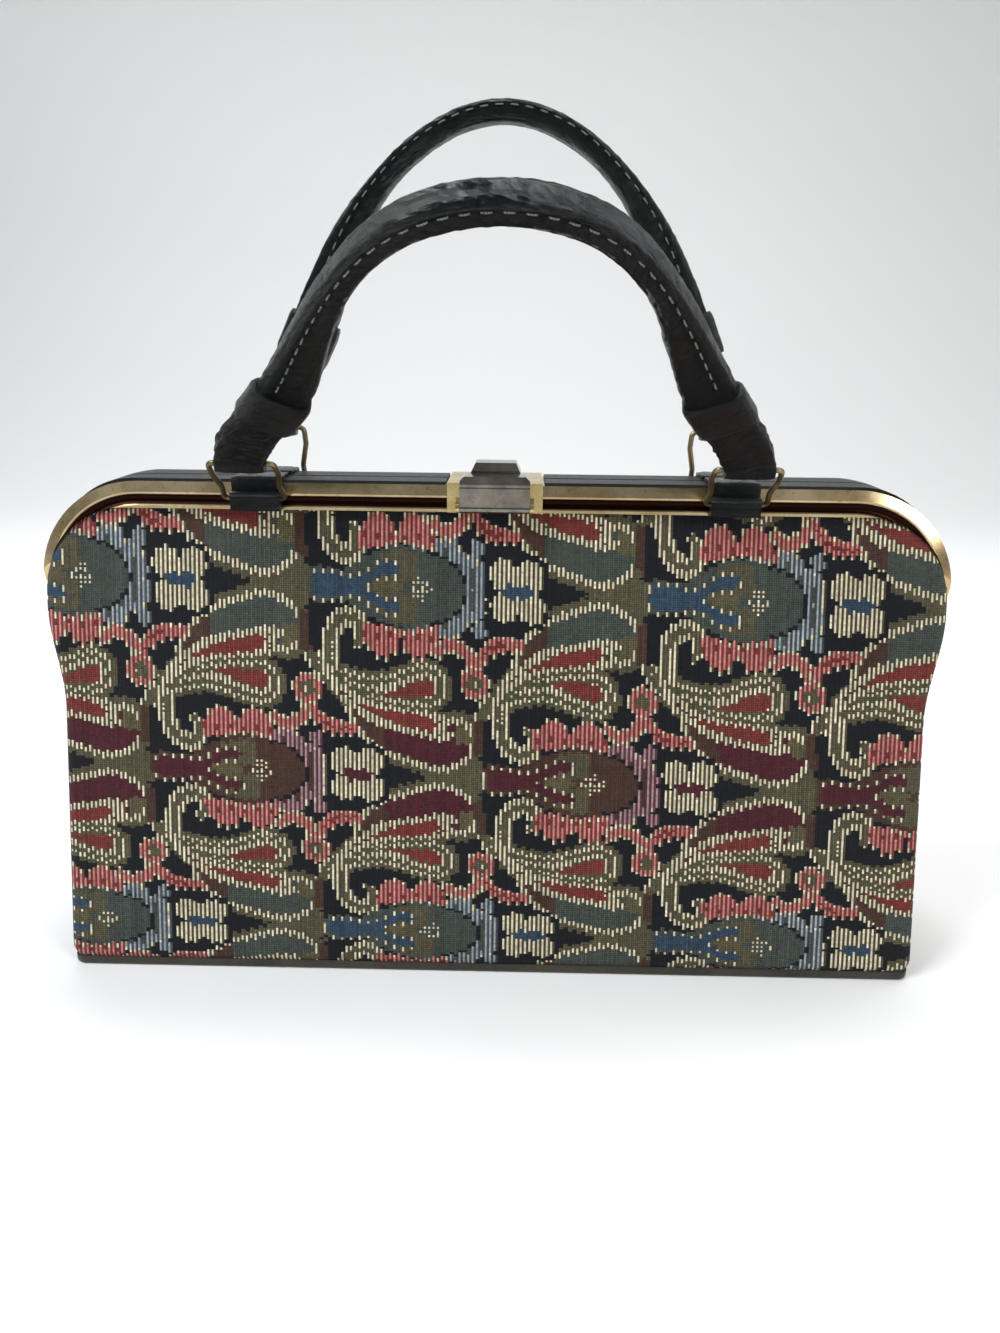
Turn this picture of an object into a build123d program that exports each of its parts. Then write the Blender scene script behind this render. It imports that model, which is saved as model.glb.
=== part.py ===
from build123d import *
import math
import os

# Structured frame handbag, millimetres, +Z up, front towards -Y.
# The origin is the middle of the base, on the surface that the bag stands on.

# Body
base_width = 289.0
base_depth = 86.0
base_thickness = 2.6
base_corner_radius = 4.5
panel_thickness = 2.4
panel_foot_radius = 4.5
panel_side_inset = 2.2
flare_end_gap = 3.9
panel_corner_radius = 28.0
panel_tongue = 7.0
waist_height = 88.0
seam_gap = 0.1

# Frame halves, pressed from sheet as channels that hold the panels
frame_width = 304.0
frame_rise = 45.0
frame_corner_radius = 35.0
half_depth = 12.5
meeting_gap = 0.3
frame_sheet = 0.9
inner_wall_height = 6.0
bevel_height = 3.4
bevel_reach = 1.1
bead_height = 0.6
cove_height = 3.4
cove_depth = 0.9
lip_height = 1.2
lip_reach = 0.3
arm_narrow_length = 19.0
arm_end_width = 2.6
arm_end_reach = 6.5
channel_clearance = 0.3

# Hinges at the ends of the frame arms
hinge_height = 118.0
ear_radius = 4.5
ear_gap = 0.3
joggle_start = 7.65
rivet_radius = 1.5
rivet_clearance = 0.05
rivet_head_radius = 3.2
rivet_head_height = 1.3

# Leather strips on the frame top
strip_thickness = 0.9
strip_edge = 0.25
strip_start = 16.2
strip_corner_sweep = 52.0

# Gussets and lining
gusset_thickness = 1.8
gusset_inset = 0.5
gusset_top_inset = 2.6
gusset_drop = 6.0
gusset_fold_low = 1.0
gusset_fold_high = 12.0
lining_thickness = 0.8
lining_gap = 0.3
lining_drop = 7.5
lining_foot_inset = 5.5
lining_mouth_inset = 18.5

# Ring tabs
tab_spacing = 155.0
tab_width = 16.0
tab_leather = 1.3
tab_reach_back = 1.5
tab_flap = 4.0

# Wire rings
wire_radius = 0.9
wire_clearance = 0.06
ring_width = 20.0
ring_height = 20.0
ring_waist = 18.4
ring_shoulder = 21.0
ring_corner_radius = 1.8
ring_bend_radius = 4.0

# Handles
strap_width = 15.0
strap_thickness = 5.0
grip_height = 6.8
grip_depth = 11.5
flat_length = 34.0
rolled_from = 96.0
loop_leather = 2.1
section_corner = 0.42
front_lean = 50.0
back_lean = 0.0
front_bow = [(61.0, 50.0), (46.5, 80.0), (20.5, 114.5)]
front_apex = 120.0
back_bow = [(66.0, 47.0), (51.5, 80.0), (25.5, 110.0)]
back_apex = 118.5
bow_start_slope = 0.2
band_length = 14.5
band_leather = 1.4
band_distance = 25.0

# Clasp
plate_width = 31.0
plate_thickness = 1.0
lever_width = 22.6
lever_front = 3.6
lever_wall = 1.3
lever_bevel_reach = 2.2
lever_bevel_height = 2.4
lever_step = 0.5
lever_step_height = 0.8
lever_slope = 0.4
lever_edge_height = 0.6
lever_rear = 6.6
lever_top_gap = 0.9
knuckle_radius = 1.6
pin_radius = 0.8
pin_clearance = 0.05
lug_width = 1.2
lug_gap = 0.15
keeper_base_width = 16.8
keeper_top_width = 13.4
keeper_height = 5.3
keeper_rear = 7.5
keeper_tongue = 6.0
keeper_lift = 0.35
spring_width = 8.0
spring_sheet = 0.3

# Woven pattern: a half-drop repeat of mirrored paisley motifs, as raised fields of colour.
# A motif's line holds points across, up from its row's axis, and half its width there.
pattern_height = 0.3
pattern_gap = 0.02
pattern_margin = 0.8
motif_repeat = 112.0
row_shift = 52.0
row_pitch = 58.8
first_row = 128.8
first_motif = 50.0
row_turn = -1.5
outline_width = 1.9
leaf_line = [(72.0, 13.6, 0.7), (84.0, 8.4, 3.2), (98.0, 7.2, 4.0), (107.0, 13.5, 1.9)]
drop_low_line = [(77.0, 19.9, 0.5), (86.0, 18.0, 2.2), (93.0, 16.9, 2.6)]
drop_high_line = [(82.0, 26.9, 0.4), (89.0, 27.6, 1.5), (95.0, 28.4, 2.1)]
vase_line = [(2.0, 0, 0.8), (6.5, 0, 3.6), (17.0, 0, 1.5)]
body_line = [(3.0, 0, 5.0), (12.0, 0, 4.4), (31.0, 0, 12.0), (48.0, 0, 6.2)]
crown_centre = 41.4
crown_reach = 16.8
crown_height = 14.4
crown_width = 5.0
crown_scallops = 5
scallop_depth = 1.5
fringe_start = 19.5
fringe_end = 41.5
fringe_low = 14.8
fringe_high = 20.0
fringe_teeth = 4
flower_centre = 69.5
flower_radius = 9.2
flower_notch = 1.8
flower_petals = 6
eye_reach = 3.9
eye_height = 3.2
row_colours = [
    {"vase": "blue", "body": "slate", "crown": "grey", "leaf": "slate", "eye": "blue"},
    {"vase": "slate", "body": "maroon", "crown": "pink", "leaf": "maroon", "eye": "maroon"}]

# Values that follow from the sizes above
half_gap = meeting_gap / 2
frame_top = hinge_height + frame_rise
corner_x = frame_width / 2 - frame_corner_radius
corner_z = frame_top - frame_corner_radius
face_height = bevel_height + bead_height + cove_height + lip_height
face_y = half_depth + bevel_reach
lip_y = face_y + lip_reach
channel_y = half_depth - frame_sheet
panel_top_y = channel_y - channel_clearance
panel_foot = base_thickness + seam_gap
panel_bend = frame_top - face_height
base_y = base_depth / 2
base_x = base_width / 2
panel_side_x = frame_width / 2 - panel_side_inset
flare_end = panel_bend - panel_corner_radius - flare_end_gap
arm_narrow_from = hinge_height + arm_narrow_length
gusset_top = hinge_height - gusset_drop
lining_top = frame_top - lining_drop
lining_foot_x = base_x - lining_foot_inset
lining_mouth_x = base_x - lining_mouth_inset
ear_outer = frame_width / 2
ear_inner = frame_width / 2 - frame_sheet - ear_gap
plate_front_y = lip_y + plate_thickness
plate_top = frame_top + plate_thickness
strip_top = frame_top + strip_thickness
tab_x = tab_spacing / 2
ring_y = lip_y + tab_leather + wire_radius + wire_clearance
ring_z = panel_bend + tab_flap
hole_radius = wire_radius + wire_clearance


def front_view(sketch, y_low, y_high):
    """A sketch drawn in X and Z, made solid between two values of Y."""
    return extrude(Plane.XZ.offset(-y_high) * sketch, amount=y_high - y_low)


def side_view(sketch, x_low, x_high):
    """A sketch drawn in Y and Z, made solid between two values of X."""
    return extrude(Plane.YZ.offset(x_low) * sketch, amount=x_high - x_low)


def outline(points):
    """A closed face through the points, in the order given."""
    return make_face(Polyline(*points, close=True))


def to_back(shape):
    """The same piece on the other half of the bag."""
    return mirror(shape, Plane.XZ)


def to_right(shape):
    """The same piece at the other end of the bag."""
    return mirror(shape, Plane.YZ)


def smooth(value, start, end):
    """Goes from 0 at start to 1 at end, level at both."""
    t = min(max((value - start) / (end - start), 0.0), 1.0)
    return t * t * (3 - 2 * t)


def panel_y(z):
    """How far the inner face of a panel stands from the middle at a height."""
    rise = (z - panel_foot) / (panel_bend - panel_foot)
    return base_y - (base_y - panel_top_y) * rise - panel_thickness


# Frame halves
def arch_path():
    """The outer line of the frame, from the left hinge over the top to the right one."""
    start = (-frame_width / 2, 0, hinge_height)
    left = Line(start, (-frame_width / 2, 0, corner_z))
    corner = ThreePointArc(
        left @ 1,
        (-corner_x - frame_corner_radius * math.sin(math.pi / 4), 0,
         corner_z + frame_corner_radius * math.cos(math.pi / 4)),
        (-corner_x, 0, frame_top),
    )
    top = Line(corner @ 1, (corner_x, 0, frame_top))
    return Wire([left, corner, top] + [e.mirror(Plane.YZ) for e in (corner, left)])


def channel_section():
    """The pressed channel: inner wall, top, bevel, bead, cove and lip."""
    cove_top = bevel_height + bead_height
    cove_end = cove_top + cove_height
    outer = Polyline(
        (0, -half_gap), (0, -half_depth), (bevel_height, -face_y), (cove_top, -face_y))
    cove = ThreePointArc(
        (cove_top, -face_y),
        ((cove_top + cove_end) / 2, -(face_y - cove_depth)),
        (cove_end, -face_y),
    )
    inner = Polyline(
        (cove_end, -face_y),
        (cove_end + lip_reach, -lip_y),
        (face_height, -lip_y),
        (face_height, -channel_y),
        (frame_sheet, -channel_y),
        (frame_sheet, -half_gap - frame_sheet),
        (inner_wall_height, -half_gap - frame_sheet),
        (inner_wall_height, -half_gap),
        (0, -half_gap),
    )
    return make_face(Curve() + [outer, cove, inner])


def arm_cutters():
    """Wedges that narrow the face and the depth of the arms down to the hinges."""
    side = frame_width / 2
    low = hinge_height - ear_radius
    inside = outline([
        (-side + face_height, arm_narrow_from), (-side + arm_end_width, low),
        (-side + arm_end_width, low - 1), (-corner_x, low - 1), (-corner_x, arm_narrow_from)])
    front = outline([
        (-lip_y, arm_narrow_from), (-arm_end_reach, hinge_height), (-arm_end_reach, low),
        (-lip_y - 1, low), (-lip_y - 1, arm_narrow_from)])
    near_hinge = outline([
        (0, hinge_height), (-ear_radius - 1, hinge_height),
        (-ear_radius - 1, hinge_height + ear_radius + 8), (0, hinge_height + ear_radius + 12)])
    channel = side_view(near_hinge, -side + frame_sheet, -side + 2 * face_height)
    left = front_view(inside, -lip_y - 1, 0) + side_view(front, -side - 1, -corner_x) + channel
    return left + to_right(left)


def ear(x_outer, reach_y):
    """The flat ear of a left arm, with the hole for its rivet."""
    neck = outline([
        (-reach_y, hinge_height), (-reach_y, hinge_height + 3 * ear_radius),
        (-half_gap, hinge_height + 3 * ear_radius), (-half_gap, hinge_height)])
    disc = Pos(0, hinge_height) * Circle(ear_radius)
    hole = Pos(0, hinge_height) * Circle(rivet_radius + rivet_clearance)
    return side_view(neck + disc - hole, -x_outer, -x_outer + frame_sheet)


def frame_half():
    start = Plane(origin=(-frame_width / 2, 0, hinge_height), x_dir=(1, 0, 0), z_dir=(0, 0, 1))
    channel = sweep(start * channel_section(), path=arch_path())
    behind_panel = panel_top_y - panel_thickness - channel_clearance
    window = front_view(panel_outline(channel_clearance), -lip_y - 1, -behind_panel)
    shank = side_view(Pos(0, hinge_height) * Circle(rivet_radius + rivet_clearance),
                      -frame_width, frame_width)
    return channel - arm_cutters() - window - shank


def front_frame():
    ears = ear(ear_outer, arm_end_reach)
    return frame_half() + ears + to_right(ears)


def back_frame():
    """Its ears pass inside the front ones, so each is set in by a joggle."""
    ears = ear(ear_inner, arm_end_reach)
    joggle = outline([
        (-arm_end_reach, hinge_height + 2 * ear_radius),
        (-arm_end_reach, hinge_height + 3 * ear_radius),
        (-half_gap, hinge_height + 3 * ear_radius),
        (-half_gap, hinge_height + 2 * ear_radius)])
    ears += side_view(joggle, -ear_outer, -ear_inner + frame_sheet)
    behind = outline([
        (-lip_y, hinge_height - ear_radius - 1), (-lip_y, hinge_height + joggle_start),
        (0, hinge_height + joggle_start), (0, hinge_height - ear_radius - 1)])
    outer_skin = side_view(behind, -ear_outer - 1, -ear_outer + frame_sheet)
    arms = frame_half() - outer_skin - to_right(outer_skin)
    return to_back(arms + ears + to_right(ears))


def hinge_rivet():
    """The left rivet: a domed outer head, a shank and a flat inner head."""
    inner = ear_inner - frame_sheet - seam_gap
    outer = ear_outer + seam_gap
    half = outline([
        (0, -inner + rivet_head_height), (rivet_head_radius, -inner + rivet_head_height),
        (rivet_head_radius, -inner), (rivet_radius, -inner), (rivet_radius, -outer),
        (rivet_head_radius, -outer), (rivet_head_radius * 0.75, -outer - rivet_head_height * 0.8),
        (0, -outer - rivet_head_height)])
    return Pos(0, 0, hinge_height) * Rot(0, 0, -90) * revolve(half, Axis.Y)


def top_strip():
    """The left leather strip of the front half, wrapped a little way round the corner."""
    sweep_angle = math.radians(strip_corner_sweep)
    top = Line((-strip_start, 0, frame_top), (-corner_x, 0, frame_top))
    middle = [frame_corner_radius * f(sweep_angle / 2) for f in (math.sin, math.cos)]
    end = [frame_corner_radius * f(sweep_angle) for f in (math.sin, math.cos)]
    corner = ThreePointArc(
        top @ 1, (-corner_x - middle[0], 0, corner_z + middle[1]),
        (-corner_x - end[0], 0, corner_z + end[1]))
    front_edge = half_depth - strip_edge
    back_edge = half_gap + strip_edge
    section = outline([
        (0, -back_edge), (0, -front_edge), (strip_thickness, -front_edge + strip_thickness / 2),
        (strip_thickness, -back_edge - strip_thickness / 2)])
    start = Plane(origin=(-strip_start, 0, frame_top), x_dir=(0, 0, 1), z_dir=(-1, 0, 0))
    strip = sweep(start * section, path=Wire([top, corner]))
    tip_x = -corner_x - end[0]
    taper = outline([
        (-corner_x, -front_edge - 1), (-corner_x, -front_edge),
        (tip_x, -back_edge - 3 * strip_thickness), (tip_x - 5, -back_edge), (tip_x - 5, -front_edge - 1)])
    return strip - extrude(taper, amount=frame_top + 2 * strip_thickness)


# Soft body
def panel_outline(grow=0.0):
    """The front view of a panel below the frame's lip: drawn in below the hinges."""
    side = panel_side_x + grow
    top = panel_bend
    radius = panel_corner_radius
    edge_x = base_x + grow
    foot = panel_foot
    start = (-edge_x + panel_foot_radius, foot)
    low = Line((0, foot), start)
    toe = ThreePointArc(
        start,
        (-edge_x + panel_foot_radius * (1 - math.sin(math.pi / 4)),
         foot + panel_foot_radius * (1 - math.cos(math.pi / 4))),
        (-edge_x, foot + panel_foot_radius))
    edge = Line(toe @ 1, (-edge_x, waist_height))
    flare = Spline([edge @ 1, (-side, flare_end)], tangents=[(0, 1), (0, 1)])
    arm = Line(flare @ 1, (-side, top - radius))
    corner = ThreePointArc(
        arm @ 1,
        (-side + radius * (1 - math.cos(math.pi / 4)), top - radius * (1 - math.sin(math.pi / 4))),
        (-side + radius, top))
    half = [low, toe, edge, flare, arm, corner, Line(corner @ 1, (0, top))]
    other = [e.mirror(Plane.YZ) for e in half]
    return make_face(Wire(half + other))


def panel():
    """The front panel: cloth over board, leaning out from the frame's channel to the base."""
    lean = (base_y - panel_top_y) / (panel_bend - panel_foot)
    low_y = base_y + lean * (panel_foot + 1)
    slab = outline([
        (-panel_top_y, panel_bend), (-low_y, -1), (-low_y + panel_thickness, -1),
        (-panel_top_y + panel_thickness, panel_bend)])
    face = side_view(slab, -frame_width / 2, frame_width / 2)
    face &= front_view(panel_outline(), -base_depth, 0)
    tongue = Pos(0, -panel_top_y + panel_thickness / 2, panel_bend + panel_tongue / 2)
    return face + tongue * Box(2 * corner_x, panel_thickness, panel_tongue)


# Woven pattern
def stroke(line, grow=0.0):
    """A pointed field of colour round a line of points, each with half the field's width."""
    left, right = [], []
    for i, (x, y, half) in enumerate(line):
        before, after = line[max(i - 1, 0)], line[min(i + 1, len(line) - 1)]
        along = Vector(after[0] - before[0], after[1] - before[1]).normalized()
        reach = half + grow
        left.append((x - along.Y * reach, y + along.X * reach))
        right.append((x + along.Y * reach, y - along.X * reach))
        if i == 0:
            tail = (x - along.X * reach, y - along.Y * reach)
    tip = (x + along.X * reach, y + along.Y * reach)
    return outline([tail] + left + [tip] + right[::-1])


def flower_field():
    """A round flower on the axis, notched between its petals."""
    points = []
    for i in range(2 * flower_petals):
        turn = math.pi * i / flower_petals
        reach = flower_radius - (flower_notch if i % 2 else 0)
        points.append((flower_centre + reach * math.cos(turn), reach * math.sin(turn)))
    return outline(points)


def both_sides(field):
    """A motif and its mirror image below the row's axis."""
    return field + mirror(field, Plane.XZ)


def crown_field():
    """The scalloped border round the far end of a motif's body."""
    outer, inner = [], []
    steps = 2 * crown_scallops
    for i in range(steps + 1):
        turn = math.pi * (i / steps - 0.5)
        scallop = scallop_depth if i % 2 else 0
        outer.append((crown_centre + (crown_reach + scallop) * math.cos(turn),
                      (crown_height + scallop) * math.sin(turn)))
        if i % 2 == 0:
            inner.append((crown_centre + (crown_reach - crown_width) * math.cos(turn),
                          (crown_height - crown_width / 2) * math.sin(turn)))
    return outline(outer + inner[::-1])


def fringe_field():
    """The toothed leaves above a motif's body."""
    step = (fringe_end - fringe_start) / (2 * fringe_teeth)
    teeth = [(fringe_start + i * step, fringe_high - (2 * scallop_depth if i % 2 else 0))
             for i in range(2 * fringe_teeth + 1)]
    return outline([(fringe_start, fringe_low)] + teeth + [(fringe_end, fringe_low)])


def motif_fields():
    """One repeat of the pattern, as the faces of each kind of field. No two of them overlap."""
    leaf = both_sides(stroke(leaf_line))
    drops = both_sides(stroke(drop_low_line) + stroke(drop_high_line))
    vase = stroke(vase_line)
    body = stroke(body_line)
    crown = crown_field() - body
    eye = outline([
        (flower_centre - eye_reach, 0), (flower_centre, -eye_height),
        (flower_centre + eye_reach, 0), (flower_centre, eye_height)])
    rims = both_sides(stroke(leaf_line, outline_width))
    return {
        "leaf": leaf, "red": drops, "vase": vase, "eye": eye,
        "body": body - vase,
        "crown": crown,
        "cream": (rims - leaf - drops) + (flower_field() - eye),
        "pink": both_sides(fringe_field()) - body - crown}


def pattern():
    """The raised fields of the front panel, one group of plates for each colour of thread."""
    lean = (base_y - panel_top_y) / (panel_bend - panel_foot)
    face = Plane(origin=(0, -base_y, panel_foot), x_dir=(1, 0, 0), z_dir=(0, -1, lean))
    window = front_view(panel_outline(-pattern_margin), -base_depth, 0)
    inset = front_view(
        Pos(0, (panel_foot + panel_bend) / 2)
        * Rectangle(frame_width, panel_bend - panel_foot - 2 * pattern_margin), -base_depth, 0)
    window &= inset
    fields = motif_fields()
    slope = math.tan(math.radians(row_turn))
    plates = {}
    rows = math.ceil(first_row / row_pitch)
    for row in range(rows):
        colours = row_colours[row % len(row_colours)]
        start = (first_motif - row * row_shift) % motif_repeat - 2 * motif_repeat
        while start < frame_width / 2:
            spot = Pos(start, first_row - row * row_pitch + slope * start) * Rot(0, 0, row_turn)
            for field, faces in fields.items():
                solid = extrude(face.offset(pattern_gap) * (spot * faces), amount=pattern_height)
                colour = colours.get(field, field)
                plates.setdefault(colour, []).extend((solid & window).solids())
            start += motif_repeat
    return {colour: Compound(solids) for colour, solids in plates.items()}


def base_panel():
    plate = extrude(RectangleRounded(base_width, base_depth, base_corner_radius), amount=base_thickness)
    return fillet(plate.faces().sort_by(Axis.Z)[0].edges(), base_thickness * 0.4)


def panel_edge(z):
    """Half the width of a panel at a height above its foot."""
    return base_x + (panel_side_x - base_x) * smooth(z, waist_height, flare_end)


def gusset():
    """The left end: a sheet folded inwards more and more towards the frame."""
    levels = [
        (panel_foot, panel_edge(panel_foot) - gusset_inset, gusset_fold_low),
        (waist_height, panel_edge(waist_height) - gusset_inset, gusset_fold_high * 0.75),
        (gusset_top, panel_edge(gusset_top) - gusset_top_inset, gusset_fold_high)]
    sections = []
    for z, edge, fold in levels:
        y = panel_y(z) - seam_gap
        points = [
            (-edge, -y), (-edge + fold, 0), (-edge, y),
            (-edge + gusset_thickness, y), (-edge + fold + gusset_thickness, 0),
            (-edge + gusset_thickness, -y)]
        sections.append(Pos(0, 0, z) * outline(points))
    return loft(sections, ruled=True)


def lining():
    """The sewn inner bag, open at the top."""
    def wedge(low, inset):
        ends = []
        for z in (low, lining_top):
            rise = (z - panel_foot) / (lining_top - panel_foot)
            x = lining_foot_x + (lining_mouth_x - lining_foot_x) * rise - inset
            y = panel_y(z) - lining_gap - inset
            ends.append(Pos(0, 0, z) * Rectangle(2 * x, 2 * y))
        return loft(ends, ruled=True)

    floor = panel_foot + lining_gap
    return wedge(floor, 0) - wedge(floor + lining_thickness, lining_thickness)


# Ring tabs, rings and handles
def tab():
    """A leather tab of the front half, from the frame seam over the face to the ring."""
    inner_y = lip_y + seam_gap / 2
    outer_y = inner_y + tab_leather
    top = strip_top + tab_leather
    over = outline([
        (-half_gap - tab_reach_back, strip_top), (-inner_y, strip_top),
        (-inner_y, panel_bend), (-outer_y, panel_bend), (-outer_y, top),
        (-half_gap - tab_reach_back, top)])
    loop = Pos(-ring_y, ring_z) * Circle(hole_radius + tab_leather)
    flap = outline([
        (-ring_y - hole_radius - tab_leather, ring_z), (-ring_y - hole_radius, panel_bend),
        (-inner_y, panel_bend), (-inner_y, ring_z)])
    hole = Pos(-ring_y, ring_z) * Circle(hole_radius)
    return side_view(over + loop + flap - hole, -tab_width / 2, tab_width / 2)


def ring():
    """A bent wire ring, upright, with its lower bar at the origin."""
    points = [
        (-ring_width / 2, 0), (ring_width / 2, 0), (ring_waist / 2, ring_height * 0.36),
        (ring_shoulder / 2, ring_height * 0.72), (ring_width / 2, ring_height),
        (-ring_width / 2, ring_height), (-ring_shoulder / 2, ring_height * 0.72),
        (-ring_waist / 2, ring_height * 0.36)]
    radii = [ring_corner_radius, ring_corner_radius, ring_bend_radius, ring_bend_radius,
             ring_corner_radius, ring_corner_radius, ring_bend_radius, ring_bend_radius]
    flat = FilletPolyline(*points, radius=radii, close=True)
    path = Plane.XZ * flat
    start = path.position_at(0)
    along = path.tangent_at(0)
    return sweep(Plane(origin=start, z_dir=along) * Circle(wire_radius), path=path)


def bow(points, apex):
    """The middle line of a handle, in X and Z, from the left ring to the right one."""
    left = [(-tab_x, 0, ring_height)] + [(-x, 0, z) for x, z in points]
    right = [(x, 0, z) for x, z in reversed(points)] + [(tab_x, 0, ring_height)]
    return Spline(
        left + [(0, 0, apex)] + right,
        tangents=[(bow_start_slope, 0, 1), (bow_start_slope, 0, -1)])


def strap_section(line, distance, grow=0.0):
    """The section of a handle at a distance along its middle line."""
    end = min(distance, line.length - distance)
    rolled = smooth(end, flat_length, rolled_from)
    width = strap_width + (grip_height - strap_width) * rolled + 2 * grow
    depth = strap_thickness + (grip_depth - strap_thickness) * rolled + 2 * grow
    spot = line.position_at(distance / line.length)
    along = line.tangent_at(distance / line.length)
    across = (along.Z, 0, -along.X)
    place = Plane(origin=spot, x_dir=across, z_dir=along)
    return place * RectangleRounded(width, depth, section_corner * min(width, depth))


def handle(points, apex):
    """A strap looped round both rings and rolled between them, upright at the origin."""
    line = bow(points, apex)
    loop_radius = hole_radius + loop_leather
    stations = 21
    first = loop_radius * 0.8
    step = (line.length - 2 * first) / (stations - 1)
    sections = [strap_section(line, first + i * step) for i in range(stations)]
    strap = loft(sections)
    eye = side_view(Pos(0, ring_height) * Circle(loop_radius), -strap_width / 2, strap_width / 2)
    hole = side_view(Pos(0, ring_height) * Circle(hole_radius), -strap_width, strap_width)
    ends = Pos(-tab_x, 0, 0) * eye + Pos(tab_x, 0, 0) * eye
    holes = Pos(-tab_x, 0, 0) * hole + Pos(tab_x, 0, 0) * hole
    return strap + ends - holes


def band_blank(points, apex):
    """The left leather band that holds the folded strap end together, before it is hollowed."""
    line = bow(points, apex)
    low = strap_section(line, band_distance, band_leather)
    high = strap_section(line, band_distance + band_length, band_leather)
    return loft([low, high])


def hang(shape, side, lean):
    """Places a ring or handle on its pivot, leaning away from the middle."""
    return Pos(0, side * ring_y, ring_z) * Rot(-side * lean, 0, 0) * shape


# Clasp
pin_y = plate_front_y + seam_gap + knuckle_radius
pin_z = panel_bend + knuckle_radius + seam_gap
lever_y = plate_front_y + lever_front
lever_top = plate_top + lever_top_gap + lever_wall


def clasp_cover():
    """The plate over the middle of a frame half, without lugs."""
    return side_view(outline([
        (-half_gap - seam_gap, frame_top), (-lip_y - seam_gap / 2, frame_top),
        (-lip_y - seam_gap / 2, panel_bend), (-plate_front_y, panel_bend),
        (-plate_front_y, plate_top), (-half_gap - seam_gap, plate_top)]),
        -plate_width / 2, plate_width / 2)


def clasp_plate():
    """The front plate, with two lugs that hold the lever's pin."""
    lug_x = lever_width / 2 + lug_gap
    lug = Pos(-pin_y, pin_z) * Circle(knuckle_radius)
    lug += outline([
        (-pin_y, pin_z - knuckle_radius), (-plate_front_y, pin_z - knuckle_radius),
        (-plate_front_y, pin_z + 2 * knuckle_radius), (-pin_y, pin_z + knuckle_radius)])
    lug -= Pos(-pin_y, pin_z) * Circle(pin_radius)
    left = side_view(lug, -lug_x - lug_width, -lug_x)
    return clasp_cover() + left + to_right(left)


def clasp_lever():
    """The lift lever: it turns forward on a pin in its curled lower edge."""
    step_top = lever_top - lever_bevel_height
    rear = outline([
        (-lever_rear, lever_top), (-lever_y + lever_bevel_reach, lever_top),
        (-lever_y + lever_step, step_top), (-lever_y + lever_step, step_top - lever_step_height),
        (-lever_y, step_top - lever_step_height - lever_slope),
        (-lever_y, pin_z + lever_edge_height), (-pin_y, pin_z), (-plate_front_y - seam_gap, pin_z),
        (-plate_front_y - seam_gap, lever_top - lever_wall), (-lever_rear, lever_top - lever_wall)])
    rear += Pos(-pin_y, pin_z) * Circle(knuckle_radius)
    rear -= Pos(-pin_y, pin_z) * Circle(pin_radius + pin_clearance)
    side = lever_width / 2
    corner = front_view(outline([
        (-side - 1, lever_top + 1), (-side - 1, lever_top - lever_wall - 1),
        (-side, lever_top - lever_wall), (-side + lever_wall, lever_top),
        (-side + lever_wall + 1, lever_top + 1)]), -base_depth, 0)
    return side_view(rear, -side, side) - corner - to_right(corner)


def clasp_pin():
    length = lever_width + 2 * lug_gap + 2 * lug_width
    pin = side_view(Pos(-pin_y, pin_z) * Circle(pin_radius), -length / 2, length / 2)
    return pin


def clasp_keeper():
    """The rear block, with a tongue that reaches over the front plate."""
    profile = outline([
        (keeper_rear, plate_top), (half_gap + seam_gap, plate_top),
        (half_gap + seam_gap, plate_top + keeper_lift), (-keeper_tongue, plate_top + keeper_lift),
        (-keeper_tongue, plate_top + keeper_height * 0.55),
        (-keeper_tongue + 2.0, plate_top + keeper_height),
        (keeper_rear - 2.0, plate_top + keeper_height), (keeper_rear, plate_top + keeper_height * 0.5)])
    block = side_view(profile, -keeper_base_width, keeper_base_width)
    face = outline([
        (-keeper_base_width / 2, plate_top - 1), (keeper_base_width / 2, plate_top - 1),
        (keeper_base_width / 2, plate_top + keeper_height * 0.35),
        (keeper_top_width / 2, plate_top + keeper_height),
        (-keeper_top_width / 2, plate_top + keeper_height),
        (-keeper_base_width / 2, plate_top + keeper_height * 0.35)])
    return block & front_view(face, -base_depth, base_depth)


def clasp_spring():
    """A bowed leaf that lies on the front plate under the lever."""
    rise = lever_top - lever_wall - plate_top - 2 * spring_sheet
    low_front = -plate_front_y + 1.5
    low_rear = -lever_rear - 1.0
    middle = (low_front + low_rear) / 2
    under = ThreePointArc((low_front, plate_top), (middle, plate_top + rise), (low_rear, plate_top))
    over = ThreePointArc(
        (low_rear, plate_top + spring_sheet), (middle, plate_top + rise + spring_sheet),
        (low_front, plate_top + spring_sheet))
    ends = [Line(under @ 1, over @ 0), Line(over @ 1, under @ 0)]
    return side_view(make_face(Curve() + [under, over] + ends), -spring_width / 2, spring_width / 2)


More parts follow.
